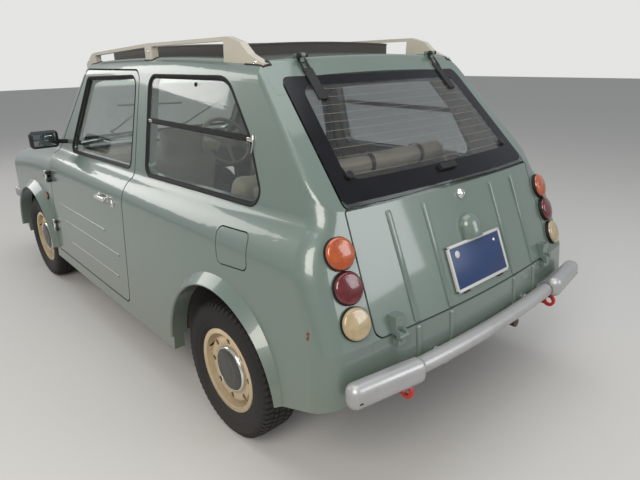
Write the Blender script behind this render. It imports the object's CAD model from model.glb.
"""Compact hatchback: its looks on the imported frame."""
import math

import bmesh
import bpy
from bpy.props import FloatProperty, FloatVectorProperty, IntProperty, PointerProperty
from bpy.types import Operator, Panel, PropertyGroup
from mathutils import Matrix, Vector, geometry
from mathutils.bvhtree import BVHTree


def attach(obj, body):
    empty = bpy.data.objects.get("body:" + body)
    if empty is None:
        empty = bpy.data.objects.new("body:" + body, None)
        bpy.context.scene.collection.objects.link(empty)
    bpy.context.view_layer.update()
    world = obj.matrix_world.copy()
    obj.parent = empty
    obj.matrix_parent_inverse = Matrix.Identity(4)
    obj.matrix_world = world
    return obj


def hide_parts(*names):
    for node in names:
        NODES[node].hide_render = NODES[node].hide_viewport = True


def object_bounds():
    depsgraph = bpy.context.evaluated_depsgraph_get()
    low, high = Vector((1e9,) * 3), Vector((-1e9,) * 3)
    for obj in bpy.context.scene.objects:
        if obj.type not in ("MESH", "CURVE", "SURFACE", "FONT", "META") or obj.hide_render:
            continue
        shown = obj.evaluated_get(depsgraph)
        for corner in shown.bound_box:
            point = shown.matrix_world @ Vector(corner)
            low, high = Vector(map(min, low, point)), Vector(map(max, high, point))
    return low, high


bl_info = {
    "name": "Compact Hatchback",
    "version": (1, 0, 0),
    "blender": (4, 5, 0),
    "location": "3D View > Sidebar > Hatchback",
    "description": "Builds the visible pieces, finishes and stage of a compact hatchback",
    "category": "Object",
}

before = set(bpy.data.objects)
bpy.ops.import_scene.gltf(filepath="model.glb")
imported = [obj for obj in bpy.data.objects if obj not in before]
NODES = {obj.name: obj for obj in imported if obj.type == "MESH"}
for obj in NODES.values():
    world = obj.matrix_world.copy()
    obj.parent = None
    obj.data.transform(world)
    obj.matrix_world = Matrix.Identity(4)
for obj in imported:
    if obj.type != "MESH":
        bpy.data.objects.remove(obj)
CAD_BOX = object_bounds()

# Where the camera stands, in metres, and its yaw, pitch down and roll, in degrees
CAMERA_PLACE = (-2.7316, 1.6400, 1.4185)
CAMERA_TURN = (-41.56, 19.04, 1.148)

# The two sides of the car, with the sign of y on each
SIDES = (("left", 1), ("right", -1))

# Places on the car that several pieces share, in metres
AXLES_X = (1.15, -1.15)
TYRE_R = 0.276
WHEEL_Y = 0.6695
REAR_BOW_X = 3.2
GATE_FOOT = Vector((-1.797, 0, 0.588))
GATE_TOP = Vector((-1.641, 0, 0.973))
HATCH_TOP = Vector((-1.236, 0, 1.398))
VALANCE_FOOT = Vector((-1.811, 0, 0.400))
WHEELS = [(f"{end}_{side}", x, facing) for end, x in zip(("front", "rear"), AXLES_X) for side, facing in SIDES]
VENT_PITCH_R = 0.119
VENT_R = 0.0125
REAR_LAMP_TOWARDS = (-0.912, 0.16, 0.374)
LENS_FACE_R = 0.0378
LENS_FLUTES = 12
FLUTE_PITCH = 0.0031
HEATER_LINES = 11
HEATER_PITCH = 0.035
PLATE_Z = 0.703
LOCK_Z = 0.935
LAMP_HOOD_Z = 0.822
BEADS_Y = (-0.377, -0.208, 0.208, 0.377)
HANDLE_FEET_X = (-0.160, -0.060)
QUARTER_BAR = ((-0.462, 1.165), (-1.205, 1.156))
QUARTER_BAR_CLIPS = ((-0.455, 1.165), (-1.216, 1.156))
RAIL_FEET_X = ((-1.214, -1.105), (-0.398, -0.313), (0.275, 0.430))
RAIL_PAD = 0.0022
RAIL_BOLTS = ((-0.356, 1.452), (-1.165, 1.402), (0.372, 1.418))
BUMPER_AXIS = (1.838, 0.474)
BUMPER_CAP_Y = 0.4325
GRILLE_BARS_Z = (0.6505, 0.6785, 0.7065, 0.7345)
DOOR_HINGE = (0.7605, 0.758)
DOOR_HINGES_Z = (0.451, 0.760)
HINGE_PIN_R = 0.0088
BLIND_AXIS = (-1.205, 0.988)
BLIND_R = 0.043
BLIND_HALF = 0.455
CANVAS_X = (-0.950, 0.345)
CANVAS_HALF = 0.430
CANVAS_CORNER = 0.070
ROOF_BOWS_X = (-0.90, -0.66, -0.40, -0.14, 0.10, 0.29)

# How the pads of the cabin are blown up and sewn
SWELL_FRAMES = 20
CHANNEL_WIDTH = 0.009
CHANNEL_DEPTH = 0.007
ROW_PITCH = 0.075

# Outlines of the side windows from the side, (x, z), and the radii of their corners
DOOR_WINDOW = [(0.540, 0.928), (0.316, 1.331), (-0.290, 1.347), (-0.284, 0.938)]
DOOR_WINDOW_RADII = [0.030, 0.040, 0.050, 0.030]
QUARTER_WINDOW = [(-0.450, 0.935), (-0.428, 1.350), (-1.040, 1.350), (-1.205, 1.165), (-1.322, 0.945)]
QUARTER_WINDOW_RADII = [0.045, 0.050, 0.120, 0.150, 0.045]

# Outline of the windscreen from the front, (y, z), and the radii of its corners
WINDSCREEN = [(-0.594, 0.9536), (0.594, 0.9536), (0.504, 1.3538), (-0.504, 1.3538)]
WINDSCREEN_RADII = [0.05, 0.05, 0.06, 0.06]

# Section of a pressed bead, (across, out), from one foot over its crown to the other
BEAD_SECTION = [(1.0, -0.3)] + [
    (math.copysign(abs(math.cos(t)) ** 0.75, math.cos(t)), math.sin(t) ** 0.75)
    for t in [math.pi * k / 14 for k in range(1, 14)]] + [(-1.0, -0.3)]

# Section of the pressed steel wheel, (along the axle, radius) in millimetres
RIM_SECTION = [
    (-28, 14.6), (-28, 40), (26, 40), (26, 88), (36, 106), (36, 129), (14, 139), (14, 144), (-62, 144), (-64, 146),
    (-64, 171), (-60, 171), (-60, 165), (-42, 165), (-34, 152), (34, 152), (42, 165), (60, 165), (60, 170),
    (62, 171.2), (64, 169), (64, 153), (61, 150), (33, 147.5), (28, 144.5), (28, 141), (33, 136), (43, 132),
    (46, 129), (47, 125), (47, 112), (45, 107), (39, 96), (38, 90), (38, 14.6)]

# Hub cap: its bright ring and its dull centre, and the dark backing behind the vents, (out of the wheel, radius)
HUB_RING = [
    (0.0370, 0.0915), (0.0395, 0.0955), (0.0440, 0.0952), (0.0490, 0.0935), (0.0528, 0.0905), (0.0540, 0.0872),
    (0.0528, 0.0846), (0.0500, 0.0835), (0.0370, 0.0835)]
HUB_CENTRE = [
    (0.0480, 0.0840), (0.0512, 0.0832), (0.0536, 0.0805), (0.0570, 0.0710), (0.0596, 0.0590), (0.0612, 0.0440),
    (0.0607, 0.0425), (0.0612, 0.0410), (0.0628, 0.0200), (0.0634, 0.0)]
VENT_BACKING = [(0.0400, 0.1050), (0.0425, 0.1058), (0.0425, 0.1310), (0.0400, 0.1315)]

# Rust in the paint: place and size of each spot
RUST_SPOTS = (
    ((-1.659, 0.751, 0.642), 0.0120), ((-1.661, 0.751, 0.630), 0.0110), ((-1.560, 0.752, 0.352), 0.0110),
    ((-1.500, 0.785, 0.372), 0.009), ((-0.795, 0.780, 0.330), 0.010), ((0.700, 0.742, 0.262), 0.012),
    ((-1.705, 0.655, 0.43), 0.006), ((-0.236, 0.752, 0.742), 0.004), ((-0.378, 0.700, 0.915), 0.007))


class FinishSettings(PropertyGroup):
    paint: FloatVectorProperty(
        name="Paint", description="Body paint", subtype="COLOR", size=3, min=0, max=1,
        default=(0.112, 0.153, 0.130))
    rail_paint: FloatVectorProperty(
        name="Rail paint", description="Paint of the roof rails", subtype="COLOR", size=3, min=0, max=1,
        default=(0.42, 0.39, 0.32))
    wheel_paint: FloatVectorProperty(
        name="Wheel paint", description="Paint of the steel wheels", subtype="COLOR", size=3, min=0, max=1,
        default=(0.52, 0.40, 0.24))
    bumper_paint: FloatVectorProperty(
        name="Bumper paint", description="Silver paint of the bumpers", subtype="COLOR", size=3, min=0, max=1,
        default=(0.40, 0.40, 0.40))
    trim: FloatVectorProperty(
        name="Cabin trim", description="Dashboard, door panels and headlining", subtype="COLOR", size=3,
        min=0, max=1, default=(0.30, 0.26, 0.20))
    cloth: FloatVectorProperty(
        name="Seat cloth", description="Woven cloth of the seats", subtype="COLOR", size=3, min=0, max=1,
        default=(0.30, 0.26, 0.20))
    dirt: FloatProperty(
        name="Dirt", description="Amount of road dirt on the lower body", subtype="FACTOR", min=0, max=1,
        default=0.35)
    rust: FloatProperty(
        name="Rust", description="Amount of rust around chips in the paint", subtype="FACTOR", min=0, max=1,
        default=0.8)


class StageSettings(PropertyGroup):
    lens: FloatProperty(
        name="Lens", description="Camera focal length in millimetres", min=10, max=200, default=29.98)
    floor_size: FloatProperty(
        name="Floor size", description="Side of the square floor", unit="LENGTH", min=5, max=200, default=60)
    floor_colour: FloatVectorProperty(
        name="Floor", description="Pale floor", subtype="COLOR", size=3, min=0, max=1,
        default=(0.50, 0.49, 0.47))
    key_power: FloatProperty(
        name="Key light", description="Power of the large soft light", unit="POWER", min=0, max=5000,
        default=250)


class TyreSettings(PropertyGroup):
    blocks: IntProperty(
        name="Tread blocks", description="Tread blocks around one row", min=20, max=120, default=64)
    groove: FloatProperty(
        name="Groove depth", description="Depth of the tread grooves", unit="LENGTH", min=0.001, max=0.01,
        default=0.006)
    vents: IntProperty(
        name="Vent holes", description="Holes around each wheel disc", min=4, max=16, default=8)


class CabinSettings(PropertyGroup):
    voxel: FloatProperty(
        name="Pad mesh", description="Mesh size of the padded seats", unit="LENGTH", min=0.005, max=0.03,
        default=0.013)
    swell: FloatProperty(
        name="Swell", description="Most that the seat cloth may swell", unit="LENGTH", min=0.001, max=0.03,
        default=0.016)
    shrink: FloatProperty(
        name="Shrink", description="How much smaller a pad starts", unit="LENGTH", min=0.0, max=0.02,
        default=0.009)


class HatchbackSettings(PropertyGroup):
    finish: PointerProperty(type=FinishSettings)
    stage: PointerProperty(type=StageSettings)
    tyres: PointerProperty(type=TyreSettings)
    cabin: PointerProperty(type=CabinSettings)


def settings():
    return bpy.context.scene.hatchback


def mirrored_y(point):
    return Vector((point[0], -point[1], point[2]))


# Node group helpers
def new_group(name, inputs, outputs):
    """Empty shader group with named sockets: (name, socket type, default)."""
    group = bpy.data.node_groups.new(name, "ShaderNodeTree")
    for label, kind, default in inputs:
        socket = group.interface.new_socket(label, in_out="INPUT", socket_type=kind)
        if default is not None:
            socket.default_value = default
    for label, kind in outputs:
        group.interface.new_socket(label, in_out="OUTPUT", socket_type=kind)
    group_in = group.nodes.new("NodeGroupInput")
    group_out = group.nodes.new("NodeGroupOutput")
    return group, group_in, group_out


def add(tree, kind, **values):
    """Node with its properties set and its inputs linked or given."""
    node = tree.nodes.new(kind)
    for key, value in values.items():
        if key.startswith("p_"):
            setattr(node, key[2:], value)
    for key, value in values.items():
        if key.startswith("p_"):
            continue
        name = int(key[1:]) if key.startswith("i") and key[1:].isdigit() else key.replace("_", " ")
        socket = node.inputs[name]
        if isinstance(value, bpy.types.NodeSocket):
            tree.links.new(value, socket)
        else:
            socket.default_value = value
    return node


def maths(tree, operation, a, b=0.0, clamp=False):
    return add(tree, "ShaderNodeMath", p_operation=operation, p_use_clamp=clamp, i0=a, i1=b).outputs[0]


def mix_colour(tree, factor, a, b):
    node = add(tree, "ShaderNodeMix", p_data_type="RGBA")
    for index, value in ((0, factor), (6, a), (7, b)):
        if isinstance(value, bpy.types.NodeSocket):
            tree.links.new(value, node.inputs[index])
        else:
            node.inputs[index].default_value = value if index == 0 else (*value[:3], 1)
    return node.outputs[2]


def ramp(tree, factor, low, high, low_value=0.0, high_value=1.0):
    node = add(tree, "ShaderNodeMapRange", p_clamp=True, Value=factor)
    node.inputs["From Min"].default_value = low
    node.inputs["From Max"].default_value = high
    node.inputs["To Min"].default_value = low_value
    node.inputs["To Max"].default_value = high_value
    return node.outputs[0]


def noise(tree, position, scale, detail=4.0, roughness=0.6):
    return add(tree, "ShaderNodeTexNoise", Vector=position, Scale=scale, Detail=detail,
               Roughness=roughness).outputs["Fac"]


def place(tree):
    """Position in the piece's own coordinates, which are the car's."""
    return add(tree, "ShaderNodeTexCoord").outputs["Object"]


def surface_wear_group():
    """Mottled colour, fine grain height and slight roughness changes."""
    group, start, end = new_group(
        "Surface Wear",
        [("Colour", "NodeSocketColor", (0.5, 0.5, 0.5, 1)), ("Mottle", "NodeSocketFloat", 0.1),
         ("Scale", "NodeSocketFloat", 6.0), ("Grain Scale", "NodeSocketFloat", 400.0),
         ("Roughness", "NodeSocketFloat", 0.4), ("Roughness Spread", "NodeSocketFloat", 0.1)],
        [("Colour", "NodeSocketColor"), ("Roughness", "NodeSocketFloat"), ("Height", "NodeSocketFloat")])
    at = place(group)
    broad = noise(group, at, start.outputs["Scale"])
    grain = noise(group, at, start.outputs["Grain Scale"], 2.0)
    shift = maths(group, "MULTIPLY", maths(group, "SUBTRACT", broad, 0.5), start.outputs["Mottle"])
    gain = maths(group, "ADD", 1.0, maths(group, "MULTIPLY", shift, 2.0))
    scaled = add(group, "ShaderNodeVectorMath", p_operation="SCALE", i0=start.outputs["Colour"], Scale=gain)
    group.links.new(scaled.outputs[0], end.inputs["Colour"])
    spread = maths(group, "MULTIPLY", maths(group, "SUBTRACT", broad, 0.5), start.outputs["Roughness Spread"])
    rough = maths(group, "ADD", start.outputs["Roughness"], spread, clamp=True)
    group.links.new(rough, end.inputs["Roughness"])
    group.links.new(grain, end.inputs["Height"])
    return group


def road_dirt_group():
    """Dust that gathers low on the body and in streaks: gives colour and a mask."""
    group, start, end = new_group(
        "Road Dirt",
        [("Colour", "NodeSocketColor", (0.5, 0.5, 0.5, 1)), ("Dust", "NodeSocketColor", (0.16, 0.13, 0.09, 1)),
         ("Amount", "NodeSocketFloat", 0.4), ("Low", "NodeSocketFloat", 0.2), ("High", "NodeSocketFloat", 0.6)],
        [("Colour", "NodeSocketColor"), ("Mask", "NodeSocketFloat")])
    at = place(group)
    height = add(group, "ShaderNodeSeparateXYZ", Vector=at).outputs["Z"]
    spots = noise(group, at, 9.0, 6.0, 0.7)
    fine = noise(group, at, 60.0, 3.0, 0.7)
    raised = maths(group, "ADD", height, maths(group, "MULTIPLY", maths(group, "SUBTRACT", spots, 0.5), 0.25))
    low = add(group, "ShaderNodeMapRange", p_clamp=True, Value=raised)
    group.links.new(start.outputs["High"], low.inputs["From Min"])
    group.links.new(start.outputs["Low"], low.inputs["From Max"])
    dusty = maths(group, "MULTIPLY", low.outputs[0], ramp(group, fine, 0.3, 0.7, 0.6, 1.0))
    mask = maths(group, "MULTIPLY", dusty, start.outputs["Amount"], clamp=True)
    colour = mix_colour(group, mask, start.outputs["Colour"], start.outputs["Dust"])
    group.links.new(colour, end.inputs["Colour"])
    group.links.new(mask, end.inputs["Mask"])
    return group


def rust_spot_group():
    """Rust that spreads in a ragged patch around one place, with a run below it."""
    group, start, end = new_group(
        "Rust Spot",
        [("Colour", "NodeSocketColor", (0.5, 0.5, 0.5, 1)), ("Centre", "NodeSocketVector", (0, 0, 0)),
         ("Size", "NodeSocketFloat", 0.02), ("Amount", "NodeSocketFloat", 1.0)],
        [("Colour", "NodeSocketColor"), ("Mask", "NodeSocketFloat")])
    at = place(group)
    away = add(group, "ShaderNodeVectorMath", p_operation="SUBTRACT", i0=at, i1=start.outputs["Centre"])
    stretch = add(group, "ShaderNodeVectorMath", p_operation="MULTIPLY", i0=away.outputs[0], i1=(1.0, 0.6, 1.0))
    distance = add(group, "ShaderNodeVectorMath", p_operation="LENGTH", i0=stretch.outputs[0]).outputs["Value"]
    ragged = maths(group, "MULTIPLY", maths(group, "SUBTRACT", noise(group, at, 90.0, 5.0), 0.5), 2.2)
    share = maths(group, "ADD", maths(group, "DIVIDE", distance, start.outputs["Size"]), ragged)
    mask = maths(group, "MULTIPLY", ramp(group, share, 1.0, 0.55), start.outputs["Amount"], clamp=True)
    edge = ramp(group, share, 0.35, 0.95)
    core = mix_colour(group, noise(group, at, 240.0, 4.0), (0.060, 0.018, 0.006), (0.020, 0.008, 0.004))
    rust = mix_colour(group, edge, core, (0.34, 0.17, 0.08))
    group.links.new(mix_colour(group, mask, start.outputs["Colour"], rust), end.inputs["Colour"])
    group.links.new(mask, end.inputs["Mask"])
    return group


def weave_group():
    """Woven cloth: two crossed sets of threads."""
    group, start, end = new_group(
        "Weave",
        [("Colour", "NodeSocketColor", (0.5, 0.5, 0.5, 1)), ("Thread Scale", "NodeSocketFloat", 260.0),
         ("Contrast", "NodeSocketFloat", 0.3)],
        [("Colour", "NodeSocketColor"), ("Height", "NodeSocketFloat")])
    at = place(group)
    warp = add(group, "ShaderNodeTexWave", p_wave_type="BANDS", p_bands_direction="DIAGONAL", Vector=at,
               Scale=start.outputs["Thread Scale"], Distortion=1.0, Detail=1.0)
    turned = add(group, "ShaderNodeMapping", Vector=at, Rotation=(0.4, 0.9, 1.57))
    weft = add(group, "ShaderNodeTexWave", p_wave_type="BANDS", p_bands_direction="DIAGONAL",
               Vector=turned.outputs[0], Scale=start.outputs["Thread Scale"], Distortion=1.0, Detail=1.0)
    height = maths(group, "MAXIMUM", warp.outputs["Fac"], weft.outputs["Fac"])
    cloudy = noise(group, at, 12.0)
    gain = maths(group, "ADD", ramp(group, height, 0, 1, 0.8, 1.05), maths(group, "MULTIPLY", cloudy, 0.15))
    held = maths(group, "ADD", maths(group, "MULTIPLY", maths(group, "SUBTRACT", gain, 1.0),
                                     start.outputs["Contrast"]), 1.0)
    scaled = add(group, "ShaderNodeVectorMath", p_operation="SCALE", i0=start.outputs["Colour"], Scale=held)
    group.links.new(scaled.outputs[0], end.inputs["Colour"])
    group.links.new(height, end.inputs["Height"])
    return group


def dent_group():
    """Round hollow that fades out: 1 at its centre, 0 one stretched metre away."""
    group, start, end = new_group(
        "Dent",
        [("Centre", "NodeSocketVector", (0, 0, 0)), ("Stretch", "NodeSocketVector", (10, 10, 10))],
        [("Height", "NodeSocketFloat")])
    away = add(group, "ShaderNodeVectorMath", p_operation="SUBTRACT", i0=place(group), i1=start.outputs["Centre"])
    wide = add(group, "ShaderNodeVectorMath", p_operation="MULTIPLY", i0=away.outputs[0],
               i1=start.outputs["Stretch"])
    distance = add(group, "ShaderNodeVectorMath", p_operation="LENGTH", i0=wide.outputs[0]).outputs["Value"]
    near = maths(group, "SUBTRACT", 1.0, distance, clamp=True)
    smooth = maths(group, "MULTIPLY", maths(group, "MULTIPLY", near, near),
                   maths(group, "SUBTRACT", 3.0, maths(group, "MULTIPLY", near, 2.0)))
    group.links.new(smooth, end.inputs["Height"])
    return group


GROUPS = {}


def effect(tree, name, **inputs):
    """One of the shared groups, built the first time that it is asked for."""
    makers = {
        "Surface Wear": surface_wear_group, "Road Dirt": road_dirt_group, "Rust Spot": rust_spot_group,
        "Weave": weave_group, "Dent": dent_group,
    }
    if name not in GROUPS:
        GROUPS[name] = makers[name]()
    node = tree.nodes.new("ShaderNodeGroup")
    node.node_tree = GROUPS[name]
    for key, value in inputs.items():
        socket = node.inputs[key.replace("_", " ")]
        if isinstance(value, bpy.types.NodeSocket):
            tree.links.new(value, socket)
        else:
            socket.default_value = value
    return node


def blank_material(name, **shader):
    """Material with one Principled shader, whose plain values are set on its own sockets."""
    material = bpy.data.materials.new(name)
    material.use_nodes = True
    tree = material.node_tree
    tree.nodes.clear()
    bsdf = tree.nodes.new("ShaderNodeBsdfPrincipled")
    out = tree.nodes.new("ShaderNodeOutputMaterial")
    tree.links.new(bsdf.outputs[0], out.inputs[0])
    for key, value in shader.items():
        bsdf.inputs[key.replace("_", " ")].default_value = value
    return material, tree, bsdf


def bump(tree, bsdf, height, strength, distance):
    node = add(tree, "ShaderNodeBump", Height=height, Strength=strength, Distance=distance)
    tree.links.new(node.outputs[0], bsdf.inputs["Normal"])


def worn(name, colour, mottle=0.1, scale=6.0, rough=0.4, spread=0.1, grain=400.0, bump_strength=0.05,
         bump_distance=0.001, dirt=0.0, dirt_range=(0.15, 0.5), **shader):
    """Plain finish with mottled colour, fine grain and dirt low down."""
    material, tree, bsdf = blank_material(name, **shader)
    wear = effect(tree, "Surface Wear", Colour=(*colour, 1), Mottle=mottle, Scale=scale, Roughness=rough,
                  Roughness_Spread=spread, Grain_Scale=grain)
    shade = wear.outputs["Colour"]
    roughness = wear.outputs["Roughness"]
    if dirt:
        dust = effect(tree, "Road Dirt", Colour=shade, Amount=dirt, Low=dirt_range[0], High=dirt_range[1])
        shade = dust.outputs["Colour"]
        roughness = maths(tree, "MAXIMUM", roughness, maths(tree, "MULTIPLY", dust.outputs["Mask"], 0.9))
    tree.links.new(shade, bsdf.inputs["Base Color"])
    tree.links.new(roughness, bsdf.inputs["Roughness"])
    if bump_strength:
        bump(tree, bsdf, wear.outputs["Height"], bump_strength, bump_distance)
    return material


def body_paint():
    """Gloss paint under clear coat, with dirt low down and rust at the dented corner."""
    finish = settings().finish
    material, tree, bsdf = blank_material(
        "Body Paint", Coat_Roughness=0.06, IOR=1.5, Specular_IOR_Level=0.5)
    wear = effect(tree, "Surface Wear", Colour=(*finish.paint, 1), Mottle=0.05, Scale=1.6, Roughness=0.32,
                  Roughness_Spread=0.12, Grain_Scale=900.0)
    shade = wear.outputs["Colour"]
    masks = []
    for centre, size in RUST_SPOTS:
        rust = effect(tree, "Rust Spot", Colour=shade, Centre=centre, Size=size, Amount=finish.rust)
        shade = rust.outputs["Colour"]
        masks.append(rust.outputs["Mask"])
    dust = effect(tree, "Road Dirt", Colour=shade, Amount=finish.dirt, Low=0.2, High=0.62)
    tree.links.new(dust.outputs["Colour"], bsdf.inputs["Base Color"])
    dull = dust.outputs["Mask"]
    for mask in masks:
        dull = maths(tree, "MAXIMUM", dull, mask)
    rough = maths(tree, "MAXIMUM", wear.outputs["Roughness"], maths(tree, "MULTIPLY", dull, 0.85))
    tree.links.new(rough, bsdf.inputs["Roughness"])
    coat = maths(tree, "SUBTRACT", 0.85, dull, clamp=True)
    tree.links.new(coat, bsdf.inputs["Coat Weight"])
    dent = effect(tree, "Dent", Centre=(-1.690, 0.735, 0.560), Stretch=(9.0, 9.0, 3.2)).outputs["Height"]
    ding = effect(tree, "Dent", Centre=(-1.659, 0.751, 0.640), Stretch=(60.0, 60.0, 38.0)).outputs["Height"]
    waves = maths(tree, "MULTIPLY", noise(tree, place(tree), 5.0, 2.0), 0.06)
    shape = maths(tree, "ADD", waves, maths(tree, "MULTIPLY", dent, -0.42))
    bump(tree, bsdf, maths(tree, "ADD", shape, maths(tree, "MULTIPLY", ding, -0.25)), 1.0, 0.01)
    return material


def glass_material(name, tint, rough=0.02, dirt=0.12):
    """Tinted glass with thin dust."""
    material, tree, bsdf = blank_material(name, Metallic=0.0, Transmission_Weight=1.0, IOR=1.45,
                                          Specular_IOR_Level=0.5)
    at = place(tree)
    film = ramp(tree, noise(tree, at, 7.0, 5.0, 0.7), 0.45, 0.8, 0.0, dirt)
    tree.links.new(mix_colour(tree, film, tint, (0.5, 0.48, 0.42)), bsdf.inputs["Base Color"])
    tree.links.new(maths(tree, "ADD", rough, maths(tree, "MULTIPLY", film, 0.6)), bsdf.inputs["Roughness"])
    return material


def lens_material(name, colour, deep):
    """Moulded lamp lens: a glossy coloured plastic, deeper in patches."""
    material, tree, bsdf = blank_material(name, Coat_Weight=0.7, Coat_Roughness=0.04, IOR=1.49,
                                          Subsurface_Weight=0.08)
    bsdf.inputs["Subsurface Radius"].default_value = (0.02, 0.01, 0.005)
    bsdf.inputs["Subsurface Scale"].default_value = 0.01
    at = place(tree)
    blotch = noise(tree, at, 34.0, 3.0)
    fine = noise(tree, at, 240.0, 2.0)
    mixed = maths(tree, "ADD", maths(tree, "MULTIPLY", blotch, 0.7), maths(tree, "MULTIPLY", fine, 0.3))
    shade = mix_colour(tree, ramp(tree, mixed, 0.35, 0.65), colour, deep)
    tree.links.new(shade, bsdf.inputs["Base Color"])
    tree.links.new(ramp(tree, blotch, 0.2, 0.8, 0.12, 0.3), bsdf.inputs["Roughness"])
    prisms = add(tree, "ShaderNodeTexVoronoi", Vector=at, Scale=260.0)
    bump(tree, bsdf, prisms.outputs["Distance"], 0.10, 0.0012)
    return material


def tyre_material():
    """Rubber, greyer where it is dusty, with faint rings on its sidewalls."""
    material, tree, bsdf = blank_material("Tyre Rubber", Specular_IOR_Level=0.35)
    wear = effect(tree, "Surface Wear", Colour=(0.012, 0.0115, 0.011, 1), Mottle=0.5, Scale=9.0, Roughness=0.72,
                  Roughness_Spread=0.25, Grain_Scale=700.0)
    dust = effect(tree, "Road Dirt", Colour=wear.outputs["Colour"], Dust=(0.060, 0.050, 0.040, 1), Amount=0.35,
                  Low=0.02, High=0.4)
    tree.links.new(dust.outputs["Colour"], bsdf.inputs["Base Color"])
    tree.links.new(wear.outputs["Roughness"], bsdf.inputs["Roughness"])
    bump(tree, bsdf, wear.outputs["Height"], 0.25, 0.001)
    return material


def cloth_material(name, colour, thread_scale=260.0, contrast=1.0, sheen=0.3, rough=0.9):
    material, tree, bsdf = blank_material(name, Sheen_Weight=sheen, Roughness=rough)
    weave = effect(tree, "Weave", Colour=(*colour, 1), Thread_Scale=thread_scale, Contrast=contrast)
    tree.links.new(weave.outputs["Colour"], bsdf.inputs["Base Color"])
    bump(tree, bsdf, weave.outputs["Height"], 0.3, 0.0008)
    return material


def plated(name, colour=(0.75, 0.74, 0.70), rough=0.12, tarnish=0.25):
    """Chrome with tarnish spots."""
    material, tree, bsdf = blank_material(name, Metallic=1.0)
    at = place(tree)
    spots = ramp(tree, noise(tree, at, 80.0, 6.0, 0.7), 0.55, 0.8, 0.0, tarnish)
    tree.links.new(mix_colour(tree, spots, colour, (0.16, 0.11, 0.07)), bsdf.inputs["Base Color"])
    tree.links.new(maths(tree, "ADD", rough, spots), bsdf.inputs["Roughness"])
    return material


MATERIALS = {}


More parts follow.
